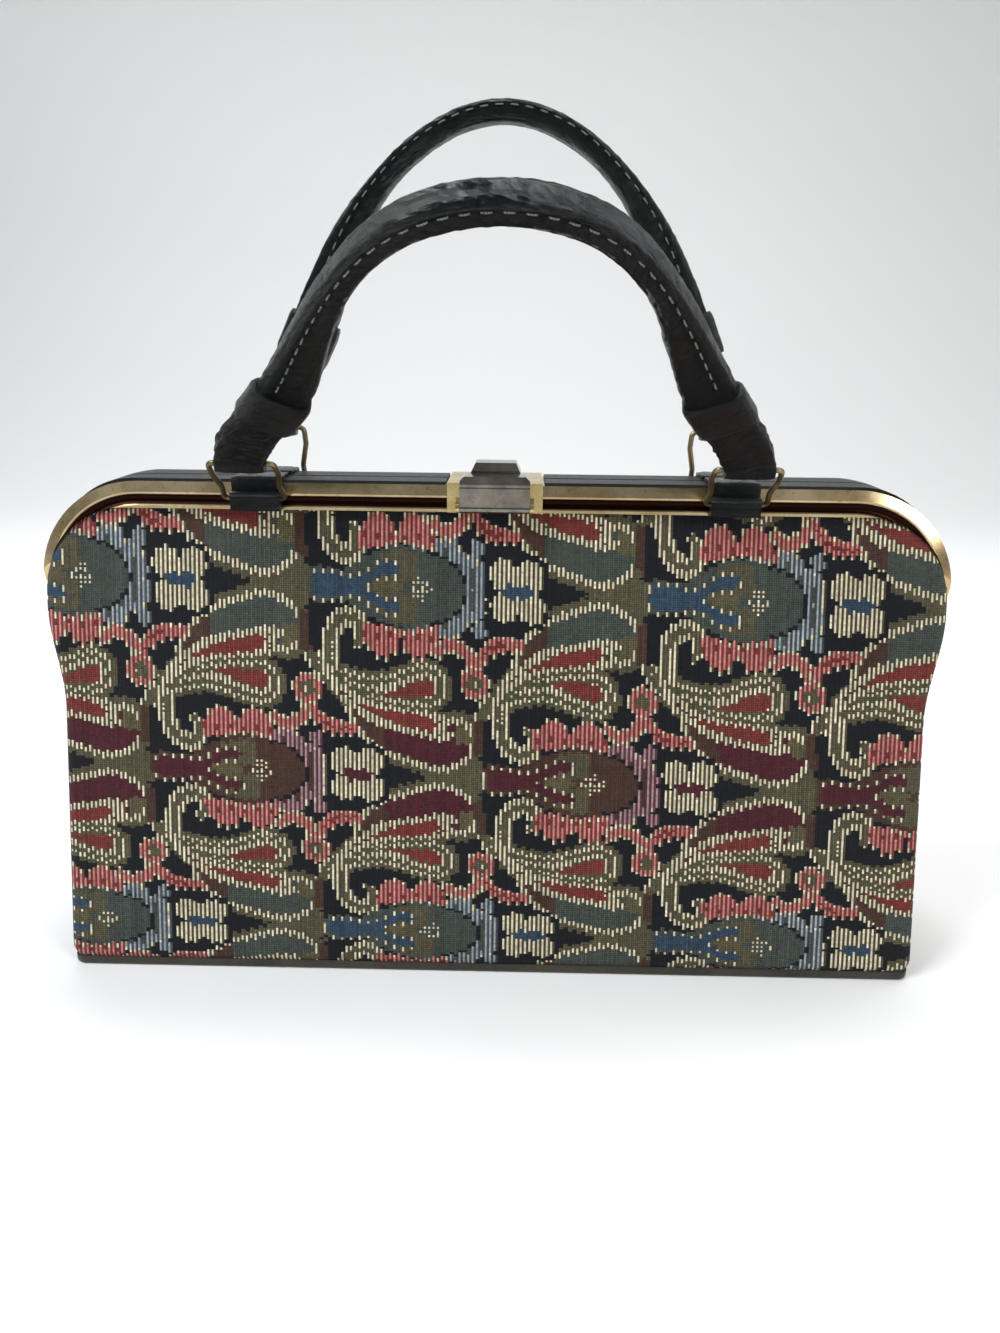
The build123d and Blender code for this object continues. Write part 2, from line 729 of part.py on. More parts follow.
def build():
    """Every piece by its node's name."""
    pieces = {}
    pieces["base_panel"] = base_panel()
    pieces["front_panel"] = panel()
    pieces["back_panel"] = to_back(pieces["front_panel"])
    for colour, plates in pattern().items():
        pieces["front_weave_" + colour] = plates
        pieces["back_weave_" + colour] = to_back(plates)
    pieces["left_gusset"] = gusset()
    pieces["right_gusset"] = to_right(pieces["left_gusset"])
    pieces["lining"] = lining()
    pieces["left_hinge_rivet"] = hinge_rivet()
    pieces["right_hinge_rivet"] = to_right(pieces["left_hinge_rivet"])
    pieces["front_frame"] = front_frame()
    pieces["back_frame"] = back_frame()
    strip = top_strip()
    left_tab = Pos(-tab_x, 0, 0) * tab()
    halves = {"front": -1, "back": 1}
    bows = {"front": (front_bow, front_apex, front_lean), "back": (back_bow, back_apex, back_lean)}
    for half, side in halves.items():
        own = (lambda shape: shape) if side < 0 else to_back
        pieces[half + "_strip_left"] = own(strip)
        pieces[half + "_strip_right"] = own(to_right(strip))
        pieces[half + "_tab_left"] = own(left_tab)
        pieces[half + "_tab_right"] = own(to_right(left_tab))
        points, apex, lean = bows[half]
        body = handle(points, apex)
        blank = band_blank(points, apex)
        pieces[half + "_ring_left"] = hang(Pos(-tab_x, 0, 0) * ring(), side, lean)
        pieces[half + "_ring_right"] = hang(Pos(tab_x, 0, 0) * ring(), side, lean)
        pieces[half + "_handle"] = hang(body, side, lean)
        pieces[half + "_band_left"] = hang(blank - body, side, lean)
        pieces[half + "_band_right"] = hang(to_right(blank) - body, side, lean)
    pieces["clasp_plate"] = clasp_plate()
    pieces["keeper_plate"] = to_back(clasp_cover())
    pieces["clasp_lever"] = clasp_lever()
    pieces["clasp_pin"] = clasp_pin()
    pieces["clasp_keeper"] = clasp_keeper()
    pieces["clasp_spring"] = clasp_spring()
    return pieces


os.makedirs("parts", exist_ok=True)
for node, piece in build().items():
    export_step(piece, "parts/" + node + ".step")
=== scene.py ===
"""Looks of a woven tapestry handbag with a gold frame and two black leather handles."""
import math

import bpy
import numpy as np
from mathutils import Matrix, Vector, noise


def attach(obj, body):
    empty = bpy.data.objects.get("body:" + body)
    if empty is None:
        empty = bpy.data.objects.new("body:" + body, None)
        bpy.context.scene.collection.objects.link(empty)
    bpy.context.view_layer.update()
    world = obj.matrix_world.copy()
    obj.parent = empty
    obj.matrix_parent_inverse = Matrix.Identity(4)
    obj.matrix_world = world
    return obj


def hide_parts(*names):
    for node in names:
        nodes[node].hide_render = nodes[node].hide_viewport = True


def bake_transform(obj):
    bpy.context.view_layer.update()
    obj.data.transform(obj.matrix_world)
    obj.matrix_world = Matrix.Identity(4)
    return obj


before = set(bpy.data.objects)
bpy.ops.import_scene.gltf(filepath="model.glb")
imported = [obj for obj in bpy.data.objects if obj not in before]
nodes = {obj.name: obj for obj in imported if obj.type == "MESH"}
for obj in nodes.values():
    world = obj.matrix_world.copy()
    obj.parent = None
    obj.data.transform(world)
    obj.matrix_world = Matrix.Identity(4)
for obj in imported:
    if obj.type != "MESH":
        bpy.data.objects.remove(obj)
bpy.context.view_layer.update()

# Sizes of the part, in millimetres, as the solids have them
BASE_X, BASE_Y = 144.5, 43.0
FOOT_Z, BEND_Z, TOP_Y = 2.7, 154.4, 11.3
PANEL_THICK = 2.4
# How deep the cloth's edge turns back. The tuck further in at the two sides isn't counted.
SIDE_X, WAIST_Z, FLARE_END = 149.8, 88.0, 122.5
PANEL_CORNER, TOE_RADIUS = 28.0, 4.5
FRAME_X, FRAME_TOP, FRAME_CORNER = 152.0, 163.0, 35.0
GUSSET_TOP = 112.0
RING_Y, RING_Z, RING_H, TAB_X = 16.16, 158.4, 20.0, 77.5
EYE_RADIUS = 3.06
FRONT_LEAN, BACK_LEAN = 50.0, 0.0
LEAN = (BASE_Y - TOP_Y) / (BEND_Z - FOOT_Z)
SLOPE = math.hypot(1, LEAN)
MM = 0.001

HALF_SIDES = (("front", -1), ("back", 1))
ENDS = ((-1, "left"), (1, "right"))
FOUR_CORNERS = [(half, end) for half in ("front", "back") for end in ("left", "right")]

rng = np.random.default_rng(7)


# Small helpers
def linear(code):
    """A hex colour as linear red, green and blue."""
    parts = [int(code[i:i + 2], 16) / 255 for i in (0, 2, 4)]
    return [c / 12.92 if c <= 0.04045 else ((c + 0.055) / 1.055) ** 2.4 for c in parts]


def smooth(value, start, end):
    t = np.clip((value - start) / (end - start), 0, 1)
    return t * t * (3 - 2 * t)


def mesh_object(name, points, faces, material):
    """A smooth-shaded mesh piece from points in millimetres."""
    mesh = bpy.data.meshes.new(name)
    mesh.from_pydata((np.asarray(points, float) * MM).tolist(), [], [list(map(int, f)) for f in faces])
    mesh.update()
    mesh.polygons.foreach_set("use_smooth", [True] * len(mesh.polygons))
    mesh.materials.append(material)
    piece = bpy.data.objects.new(name, mesh)
    bpy.context.scene.collection.objects.link(piece)
    return piece


class Nodes:
    """Short calls for building one material's node tree."""

    def __init__(self, name):
        self.material = bpy.data.materials.new(name)
        self.material.use_nodes = True
        self.tree = self.material.node_tree
        self.shader = self.tree.nodes["Principled BSDF"]

    def add(self, kind, inputs=(), **settings):
        node = self.tree.nodes.new(kind)
        for key, value in settings.items():
            setattr(node, key, value)
        for key, value in dict(inputs).items():
            self.put(node.inputs[key], value)
        return node

    def put(self, socket, value):
        if isinstance(value, bpy.types.NodeSocket):
            self.tree.links.new(value, socket)
        else:
            socket.default_value = value

    def math(self, operation, a, b=0.0):
        return self.add("ShaderNodeMath", {0: a, 1: b}, operation=operation).outputs[0]

    def mix(self, factor, a, b, blend="MIX"):
        node = self.add("ShaderNodeMix", data_type="RGBA", blend_type=blend)
        self.put(node.inputs["Factor"], factor)
        colours = [s for s in node.inputs if s.type == "RGBA"]
        self.put(colours[0], a)
        self.put(colours[1], b)
        return [s for s in node.outputs if s.type == "RGBA"][0]

    def ramp(self, factor, stops):
        """A colour ramp from pairs of position and colour or grey."""
        node = self.add("ShaderNodeValToRGB", {"Fac": factor})
        band = node.color_ramp
        while len(band.elements) < len(stops):
            band.elements.new(0.5)
        for element, (position, colour) in zip(band.elements, stops):
            element.position = position
            element.color = (*colour, 1) if hasattr(colour, "__len__") else (colour, colour, colour, 1)
        return node.outputs["Color"]

    def noise(self, scale, detail=4.0, roughness=0.55, vector=None):
        inputs = {"Scale": scale, "Detail": detail, "Roughness": roughness}
        if vector is not None:
            inputs["Vector"] = vector
        return self.add("ShaderNodeTexNoise", inputs).outputs["Fac"]

    def place(self, scale=(1, 1, 1)):
        """Object coordinates, stretched."""
        where = self.add("ShaderNodeTexCoord").outputs["Object"]
        return self.add("ShaderNodeMapping", {"Vector": where, "Scale": scale}).outputs["Vector"]

    def bump(self, height, distance, strength):
        inputs = {"Height": height, "Distance": distance, "Strength": strength}
        return self.add("ShaderNodeBump", inputs).outputs["Normal"]

    def finish(self, **sockets):
        for key, value in sockets.items():
            self.put(self.shader.inputs[key.replace("_", " ")], value)
        return self.material


# The woven pattern. A vase repeats every REPEAT along its row, and every other row is shifted by half.
REPEAT, PITCH = 112.0, 60.0
# The distance between ribs, the width of a thread floating over one, and the height of one pick
RIB, FLOAT_WIDTH, PICK = 1.5, 0.72, 0.75
# Where the first vase and the first row's axis lie, across the panel and up its slope
FIRST_VASE, FIRST_ROW = 50.0, 128.8
# The cloth hangs askew, and its rows draw closer together towards the foot
ROWS_SLIP, ROWS_SLANT, ROW_GAP, ROW_CLOSING = 0.045, 0.026, 68.05, 4.65
BACK_PATTERN_SHIFT = 31.0
ROW_REACH = 40
GROUND, CREAM, OLIVE, RED, PINK, BLUE, SLATE, GREY, MAROON, BROWN, ROSE, KHAKI = range(12)
FLOATS = {
    GROUND: "12151b", CREAM: "cfc5a8", OLIVE: "5a5440", RED: "78342e", PINK: "b9726b", BLUE: "34495c",
    SLATE: "454c47", GREY: "8b9498", MAROON: "4d1f27", BROWN: "4b332a", ROSE: "9c7a80", KHAKI: "5f583f"}
# Colours of the columns between the floats: the same threads darker, painted shade in the channels between
# the raised floats
SHADED_GAP_COLOURS = {
    GROUND: "0f1218", CREAM: "4c4636", OLIVE: "524c38", RED: "702f2a", PINK: "6f3634", BLUE: "304457",
    SLATE: "414842", GREY: "454b50", MAROON: "491d25", BROWN: "463027", ROSE: "55353c", KHAKI: "59533a"}
# Threads that float over the ribs in bars. The others are plain weave.
BARRED = (CREAM, PINK, GREY, ROSE)


FAR = 1e3


def chain(u, v, points, radii):
    """Signed distance to a stroke through the points, with a radius at each."""
    best = np.full(np.broadcast(u, v).shape, FAR)
    points = np.asarray(points, float)
    steps = 5
    for i in range(len(points) - 1):
        before = points[max(i - 1, 0)]
        after = points[min(i + 2, len(points) - 1)]
        a, b = points[i], points[i + 1]
        for k in range(steps + (i == len(points) - 2)):
            t = k / steps
            spot = 0.5 * (2 * a + (b - before) * t + (2 * before - 5 * a + 4 * b - after) * t * t
                          + (3 * a - before - 3 * b + after) * t ** 3)
            r = radii[i] + (radii[i + 1] - radii[i]) * t
            best = np.minimum(best, np.hypot(u - spot[0], v - spot[1]) - r)
    return best


def oval(u, v, centre, half):
    """About how far a point lies outside an ellipse."""
    d = np.hypot((u - centre[0]) / half[0], (v - centre[1]) / half[1])
    return (d - 1) * np.minimum(*half)


# Middle lines of the motifs: along the row from the vase's foot, and away from the row's axis
LEAF = [(69.5, 21.5), (74.8, 15.6), (82, 12.2), (90, 10.2), (97.6, 8.4), (103.3, 9.9), (106.2, 13.6),
        (104.9, 16.8), (102.2, 17.2)]
LEAF_RADII = [0.6, 2.2, 3.6, 4.2, 4.4, 3.8, 2.6, 1.7, 1.2]
DROP_ONE = [(72, 23.4), (76.4, 21.8), (82, 20.3), (87.2, 19.1), (91.3, 18.2), (94.6, 17.7)]
DROP_ONE_RADII = [0.3, 1.0, 1.8, 2.6, 3.0, 2.3]
DROP_TWO = [(80, 27.3), (85.6, 27.9), (90.7, 29.0), (94.3, 29.6)]
DROP_TWO_RADII = [0.4, 1.4, 2.5, 2.7]
PLUME = [(55.5, 41.0), (58.5, 36.0), (64, 32.0), (70, 30.2), (77, 29.2), (84, 29.4), (90, 30.2), (94.5, 30.6)]
PLUME_RADII = [2.2, 3.2, 3.6, 3.6, 3.8, 4.8, 6.2, 7.0]
TRAIN = [(60, 35.0), (66, 27.6), (72, 23.8), (80, 21.2), (88, 19.4), (94, 18.4), (98, 18.6)]
TRAIN_RADII = [1.6, 3.4, 3.4, 3.6, 4.4, 4.8, 4.2]
COLLAR = [(6.6, 23.5), (6.8, 15.8), (9.4, 10.8), (13.4, 9.0), (16.8, 10.6), (17.4, 14.4), (15.4, 17.4)]
COLLAR_RADII = [3.0, 3.0, 3.2, 3.2, 3.0, 2.4, 1.4]
COLLAR_CORE_RADII = [1.0, 1.1, 1.2, 1.1, 1.0, 1.0, 0.8]
HOOK = [(42.5, 19.0), (46.0, 16.4), (50.6, 17.8), (53.4, 20.6), (54.6, 25.5)]
HOOK_RADII = [2.0, 2.5, 2.5, 2.5, 2.8]
BLOSSOM = [(54.4, 25.0), (57.0, 20.0), (61.5, 16.4), (69.5, 15.6)]
BLOSSOM_RADII = [1.4, 1.6, 2.3, 1.6]
LOBES = [(4.5, 0.4), (10.0, 0.4), (15.0, 0.6), (20.0, 2.6), (25.0, 5.2), (28.5, 5.4)]
LOBE_RADII = [3.4, 3.0, 1.8, 1.3, 1.7, 1.9]
BELL = [(4.0, 0.0), (13.0, 0.0), (24.0, 1.5), (32.0, 1.8), (42.0, 0.8), (47.0, 0.0)]
BELL_RADII = [5.4, 4.2, 8.2, 10.4, 9.6, 6.0]


def layers(lay, distance, steps):
    """Threads by how far inside a shape's edge a point lies."""
    for depth, thread in steps:
        lay(distance < -depth, thread)


def paint_leaves(lay, u, v, leaf):
    """The plume and the train, each with a red drop, and the pointed leaf over them."""
    shape = chain(u, v, LEAF, LEAF_RADII)
    lay((shape < 4.2) & (u > 76), OLIVE)
    plume = chain(u, v, PLUME, PLUME_RADII)
    lay((plume < 1.5) & (u > 60), OLIVE)
    layers(lay, plume, [(0, CREAM), (1.3, OLIVE), (2.8, CREAM), (4.6, OLIVE), (5.2, CREAM)])
    lay(chain(u, v, DROP_TWO, DROP_TWO_RADII) < 0, RED)
    train = chain(u, v, TRAIN, TRAIN_RADII)
    layers(lay, train, [(0, OLIVE), (0.9, CREAM), (2.9, BROWN), (3.4, CREAM)])
    lay(chain(u, v, DROP_ONE, DROP_ONE_RADII) < 0, RED)
    outline = 2.1
    lay(shape < outline, CREAM)
    lay(shape < 0, leaf)
    lay((shape < 0) & (u < 79), BROWN)
    lay((shape < 0) & (u > 103) & (v > 12), KHAKI)
    # The bar that closes the repeat, and the wedge between two leaves
    lay((np.abs(u - 110.6) < 1.7) & (v > 8.0) & (v < 20), BROWN)
    lay((u > 92) & (u < 112) & (v < 0.3 * (u - 92)) & (shape > outline), OLIVE)


def paint_crown(lay, u, v, rib, even, body, crown):
    """The collar, the scalloped crown and the bell-shaped body. Returns the distance to the bell."""
    lay(chain(u, v, COLLAR, COLLAR_RADII) < 0, CREAM)
    lay(chain(u, v, COLLAR, COLLAR_CORE_RADII) < 0, OLIVE)
    bell = chain(u, v, BELL, BELL_RADII)
    scallop = 2.2 * np.abs(np.sin(np.arctan2(v, u - 40) * 4.5))
    ring = oval(u, v, (42.0, 0), (16.6 + scallop, 13.6 + scallop))
    lay((ring < 0) & (u > 33), crown)
    lay((ring < 0) & (ring > -1.1) & (u > 33) & even, CREAM)
    lay((ring < -3.2) & (u > 36) & ((rib % 3) == 1), body)
    lay(bell < 0, body)
    lay((bell < -1.5) & (u > 24) & (u < 36) & (v > 1.5), OLIVE)
    lay((bell > -1.0) & (bell < 0) & (u > 40), GROUND)
    return bell


def paint_fringe(lay, u, v, rib, even, bell):
    """The pink fringe beside the bell, its outer edge in three rounded lobes."""
    fringe = 14.4 + 6.4 * np.abs(np.sin((u - 18.6) * math.pi / 11.6)) ** 0.5 + 1.4 * even
    inside = (u > 17.5) & (u < 42.5) & (v > 11.0) & (v < fringe)
    lay(inside & (bell > 0.2), PINK)
    lay(inside & (bell > 0.2) & (bell < 1.6) & even, CREAM)
    lay(inside & (v > fringe - 1.4) & even, CREAM)
    lay(inside & (v > fringe - 2.6) & (v < fringe - 1.4), PINK)
    lay(inside & (v > 13.4) & (v < 15.4) & (bell > 1.6) & (rib % 3 == 1), RED)


def paint_vase(lay, u, v, rib, even, vase):
    """The forked vase inside the bell, outlined in dots, with a dotted lozenge at its mouth."""
    lobes = chain(u, v, LOBES, LOBE_RADII)
    lay((lobes < 1.3) & even, CREAM)
    lay(lobes < 0, vase)
    lay((u > 20.5) & (u < 31) & (v < 0.9 + 1.1 * np.sin((u - 20.5) * 0.3)), KHAKI)
    lay((np.abs(u - 37.3) / 4.6 + v / 4.2 < 1) & ((np.floor(v / PICK) + rib) % 2 == 0), CREAM)


def paint_blossom(lay, u, v, even, crown):
    """The pink hook, the blossom that hangs from it and the curl at their join."""
    layers(lay, chain(u, v, HOOK, HOOK_RADII), [(0, CREAM), (0.9, PINK)])
    blossom = chain(u, v, BLOSSOM, BLOSSOM_RADII)
    lay((blossom < 0.8) & even, CREAM)
    lay(blossom < 0, PINK)
    lay(blossom < -1.4, RED)
    lay(oval(u, v, (56.6, 11.8), (2.4, 2.6)) < 0, crown)
    curl = np.hypot(u - 54.4, v - 28.2)
    lay(curl < 5.2, CREAM)
    lay(curl < 4.5, PINK)
    lay(curl < 2.6, OLIVE)
    lay((curl < 1.3) & even, CREAM)


def paint_flower(lay, u, v, eye):
    """A cream flower of four petals on black, with a bow-shaped eye."""
    petals = np.minimum(np.hypot(np.abs(u - 69.7) - 4.4, v - 4.6) - 4.7, np.hypot(u - 69.7, v) - 4.6)
    lay((petals < 1.7) & (u < 80), GROUND)
    lay(petals < 0, CREAM)
    lay((np.abs(u - 69.8) / 6.0 + v / 4.2 < 1) & (v < 1.2 + 0.5 * np.abs(u - 69.8)), eye)


def paint_row(kind, u, v, rib, near, scheme):
    """Lays one row's motifs over the kinds of thread. v is the distance from the row's axis."""
    vase, body, crown, leaf, eye = scheme
    even = (rib % 2) == 0

    def lay(mask, thread):
        kind[mask & near] = thread

    paint_leaves(lay, u, v, leaf)
    bell = paint_crown(lay, u, v, rib, even, body, crown)
    paint_fringe(lay, u, v, rib, even, bell)
    paint_vase(lay, u, v, rib, even, vase)
    paint_blossom(lay, u, v, even, crown)
    paint_flower(lay, u, v, eye)


# Threads of the vase, the body, the crown, the leaf and the flower's eye
BLUE_SCHEME = (BLUE, SLATE, GREY, SLATE, BLUE)
MAROON_SCHEME = (MAROON, BROWN, ROSE, MAROON, MAROON)


def tapestry(x, s, rib):
    """The kind of thread at x across and s up the cloth."""
    across = x - FIRST_VASE - ROWS_SLIP * (FIRST_ROW - s)
    down = FIRST_ROW - ROWS_SLANT * x - s
    rows = (ROW_GAP - np.sqrt(np.maximum(ROW_GAP ** 2 - 4 * ROW_CLOSING * down, 1.0))) / (2 * ROW_CLOSING)
    kind = np.full(x.shape, GROUND)
    row = np.round(rows).astype(int)
    away = rows - row
    beyond = row + np.where(away >= 0, 1, -1)
    for number in (beyond, row):
        offset = np.abs(rows - number) * PITCH
        shifted = across + (number % 2) * REPEAT / 2
        u = np.mod(shifted, REPEAT)
        for parity, scheme in ((0, BLUE_SCHEME), (1, MAROON_SCHEME)):
            near = ((number % 2) == parity) & (offset < ROW_REACH)
            paint_row(kind, u, offset, rib, near, scheme)
    return kind


def cloth_piece(name, width, height, limits, place, rim, material, shift):
    """A woven sheet whose faces are the threads.

    limits(s) gives the x from and to, and place(x, s) the points. rim holds the steps that turn its edge.
    """
    ribs = np.arange(math.floor(-width / RIB), math.ceil(width / RIB))
    edges = np.sort(np.concatenate([ribs * RIB, ribs * RIB + FLOAT_WIDTH, [ribs[-1] * RIB + RIB]]))
    rows = np.linspace(0.0, height, int(round(height / PICK)) + 1)
    low, high = limits(rows)
    grid_x = np.clip(edges[None, :], low[:, None], high[:, None])
    grid_s = np.repeat(rows[:, None], len(edges), axis=1)
    points = place(grid_x, grid_s)
    n_rows, n_cols = grid_x.shape
    index = np.arange(n_rows * n_cols).reshape(n_rows, n_cols)
    quads = np.stack([index[:-1, :-1], index[:-1, 1:], index[1:, 1:], index[1:, :-1]], axis=-1)
    wide = np.maximum(grid_x[:-1, 1:] - grid_x[:-1, :-1], grid_x[1:, 1:] - grid_x[1:, :-1])
    keep = wide > 1e-4
    column = np.arange(n_cols - 1)
    rib = ribs[0] + column // 2
    middle_x = np.broadcast_to((rib * RIB + FLOAT_WIDTH / 2)[None, :], keep.shape)
    middle_s = np.broadcast_to(((rows[:-1] + rows[1:]) / 2)[:, None], keep.shape)
    stagger = np.where(rib % 2 == 0, 0.35, -0.35)[None, :]
    all_ribs = np.broadcast_to(rib[None, :], keep.shape)
    kind = tapestry(middle_x + shift, middle_s + stagger, all_ribs)
    is_gap = np.broadcast_to((column % 2 == 1)[None, :], keep.shape)
    floats = np.array([linear(FLOATS[k]) for k in sorted(FLOATS)])
    shaded_gaps = np.array([linear(SHADED_GAP_COLOURS[k]) for k in sorted(SHADED_GAP_COLOURS)])
    # The gap columns take the darker colours, painted shade between the floats
    colour = np.where(is_gap[..., None], shaded_gaps[kind], floats[kind])
    # Threads differ a little from one another, and so do whole ribs
    colour = colour * (1 + 0.13 * rng.standard_normal(kind.shape))[..., None].clip(0.6, 1.4)
    colour *= (1 + 0.08 * rng.standard_normal((1, n_cols - 1)))[..., None].clip(0.7, 1.3)
    # 1 where a thread floats over its rib, 0 in plain weave
    raised = np.isin(kind, BARRED)[..., None].astype(float)
    colour = np.concatenate([colour, raised], axis=-1)
    faces = quads[keep]
    colours = colour[keep]
    across_up = np.stack([grid_x, grid_s], axis=-1).reshape(-1, 2)
    points = points.reshape(-1, 3)
    # The turned edge, all round
    left = [index[j, 0] for j in range(n_rows)]
    right = [index[j, -1] for j in range(n_rows)]
    bottom = [i for i in index[0] if low[0] < across_up[i, 0] < high[0]]
    top = [i for i in index[-1] if low[-1] < across_up[i, 0] < high[-1]]
    ring = np.array(left[::-1] + bottom + right + top[::-1])
    extra_points, extra_faces, extra_colours, extra_uv = [points], [faces], [colours], [across_up]
    edge_kind = tapestry(across_up[ring, 0] * 0.985 + shift, across_up[ring, 1], np.zeros(len(ring), int))
    # The turned edge blends the float and gap colours and is darkened: painted shade where the cloth turns
    # under
    shaded_edge_colour = (floats[edge_kind] * 0.6 + shaded_gaps[edge_kind] * 0.4) * 0.8
    shaded_edge_colour = np.concatenate([shaded_edge_colour, np.zeros((len(ring), 1))], axis=1)
    before = ring
    start = len(points)
    for step in rim:
        moved = step(points[ring])
        new = np.arange(start, start + len(ring))
        extra_points.append(moved)
        extra_uv.append(across_up[ring])
        strip = np.stack([before, np.roll(before, -1), np.roll(new, -1), new], axis=-1)
        extra_faces.append(strip)
        extra_colours.append(shaded_edge_colour)
        before = new
        start += len(ring)
    points = np.concatenate(extra_points)
    faces = np.concatenate(extra_faces)
    colours = np.concatenate(extra_colours)
    uv = np.concatenate(extra_uv)
    piece = mesh_object(name, points, faces, material)
    mesh = piece.data
    attribute = mesh.attributes.new("thread", "FLOAT_COLOR", "CORNER")
    attribute.data.foreach_set("color", np.repeat(colours, 4, axis=0).astype(np.float32).ravel())
    layer = mesh.uv_layers.new(name="weave")
    layer.data.foreach_set("uv", (uv[faces.ravel()] / RIB).astype(np.float32).ravel())
    return piece


def cloth_material():
    """Floats lie along the ribs; plain weave between them is a fine grid of warp and weft."""
    n = Nodes("tapestry_cloth")
    thread = n.add("ShaderNodeAttribute", attribute_name="thread", attribute_type="GEOMETRY")
    raised = thread.outputs["Alpha"]
    uv = n.add("ShaderNodeUVMap", uv_map="weave").outputs["UV"]
    split = n.add("ShaderNodeSeparateXYZ", {"Vector": uv})
    rib = n.math("FRACT", split.outputs["X"])
    share = FLOAT_WIDTH / RIB
    arch = n.math("SINE", n.math("MULTIPLY", n.math("MINIMUM", n.math("DIVIDE", rib, share), 1.0), math.pi))
    pick = n.math("MULTIPLY", split.outputs["Y"], 2 * math.pi * RIB / PICK)
    twist = n.math("SINE", n.math("ADD", pick, n.math("MULTIPLY", rib, 5.0)))
    float_height = n.math("ADD", arch, n.math("MULTIPLY", twist, 0.16))
    warp = n.math("COSINE", n.math("MULTIPLY", split.outputs["X"], 4 * math.pi))
    weft = n.math("COSINE", pick)
    grid = n.math("SUBTRACT", 0.5, n.math("MULTIPLY", n.math("MAXIMUM", warp, weft), 0.5))
    plain_height = n.math("MULTIPLY", grid, 0.6)
    height = n.add("ShaderNodeMix", {"Factor": raised, "A": plain_height, "B": float_height})
    fuzz = n.noise(2600.0, 3.0, 0.7)
    bumps = n.math("ADD", height.outputs["Result"], n.math("MULTIPLY", fuzz, 0.45))
    # Painted light and shade: each float lighter along its crown and darker at its sides, the plain weave
    # darker along the lines of its grid
    float_painted_light_and_shade = n.math("ADD", 0.80, n.math("MULTIPLY", arch, 0.34))
    plain_weave_painted_shade = n.math("ADD", 0.52, n.math("MULTIPLY", grid, 0.86))
    shade = n.add("ShaderNodeMix", {"Factor": raised, "A": plain_weave_painted_shade, "B": float_painted_light_and_shade})
    soil = n.ramp(n.noise(14.0, 5.0, 0.6), [(0.3, 0.88), (0.62, 1.05)])
    # The thread colours times the painted shade, then times a random soil tone
    colour = n.mix(1.0, thread.outputs["Color"], shade.outputs["Result"], "MULTIPLY")
    colour = n.mix(1.0, colour, soil, "MULTIPLY")
    return n.finish(
        Base_Color=colour, Roughness=0.86, Sheen_Weight=0.08, Sheen_Roughness=0.5,
        Specular_IOR_Level=0.22, Normal=n.bump(bumps, 0.0002, 0.8))


def panel_limits(s):
    """Half the panel's width at a way up its slope, rounded at its toes and top corners."""
    z = FOOT_Z + s / SLOPE
    side = BASE_X + (SIDE_X - BASE_X) * smooth(z, WAIST_Z, FLARE_END)
    toe = np.maximum(FOOT_Z + TOE_RADIUS - z, 0)
    side = side - (TOE_RADIUS - np.sqrt(np.maximum(TOE_RADIUS ** 2 - toe ** 2, 0)))
    over = np.clip(z - (BEND_Z - PANEL_CORNER), 0, PANEL_CORNER)
    side = side - (PANEL_CORNER - np.sqrt(PANEL_CORNER ** 2 - over ** 2))
    return -side, side


def panel_y(z):
    return BASE_Y - LEAN * (z - FOOT_Z)


def tapestry_panel(name, side, material):
    """The front (side -1) or back panel: cloth over board, a little plump, its edges turned under."""
    full = (BEND_Z - FOOT_Z) * SLOPE

    def place(x, s):
        z = FOOT_Z + s / SLOPE
        half = panel_limits(s[:, 0])[1][:, None]
        from_edge = np.minimum(half - np.abs(x), np.minimum(s, 40.0))
        rounding = 1.3 * np.clip(1 - from_edge / 2.6, 0, 1) ** 2
        plump = 0.9 * np.sin(np.pi * np.clip(s / full, 0, 1)) * np.clip(from_edge / 30, 0, 1)
        y = panel_y(z) - rounding + plump
        return np.stack([-side * x if side > 0 else x, side * y, z], axis=-1)

    def turn(depth, inset):
        def step(points):
            moved = points.copy()
            moved[:, 1] -= side * depth
            moved[:, 0] *= 1 - inset / BASE_X
            return moved
        return step

    rim = [turn(0.6, 0.0), turn(1.1, 0.3), turn(1.1, 8.0)]
    shift = 0.0 if side < 0 else BACK_PATTERN_SHIFT
    piece = cloth_piece(name, SIDE_X + RIB, full, panel_limits, place, rim, material, shift)
    return piece


cloth = cloth_material()
front = tapestry_panel("front_tapestry", -1, cloth)
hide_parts("front_panel", *[n for n in nodes if n.startswith("front_weave")])
back = tapestry_panel("back_tapestry", 1, cloth)
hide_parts("back_panel", *[n for n in nodes if n.startswith("back_weave")])


# Metal
def arch_distance(n):
    """How far in from the outer line of the frame a point lies, in metres."""
    where = n.add("ShaderNodeTexCoord").outputs["Object"]
    split = n.add("ShaderNodeSeparateXYZ", {"Vector": where})
    x = n.math("SUBTRACT", n.math("ABSOLUTE", split.outputs["X"]), (FRAME_X - FRAME_CORNER) * MM)
    z = n.math("SUBTRACT", split.outputs["Z"], (FRAME_TOP - FRAME_CORNER) * MM)
    out_x, out_z = n.math("MAXIMUM", x, 0.0), n.math("MAXIMUM", z, 0.0)
    length = n.math("SQRT", n.math("ADD", n.math("MULTIPLY", out_x, out_x), n.math("MULTIPLY", out_z, out_z)))
    inner = n.math("MINIMUM", n.math("MAXIMUM", x, z), 0.0)
    return n.math("SUBTRACT", n.math("SUBTRACT", FRAME_CORNER * MM, length), inner)


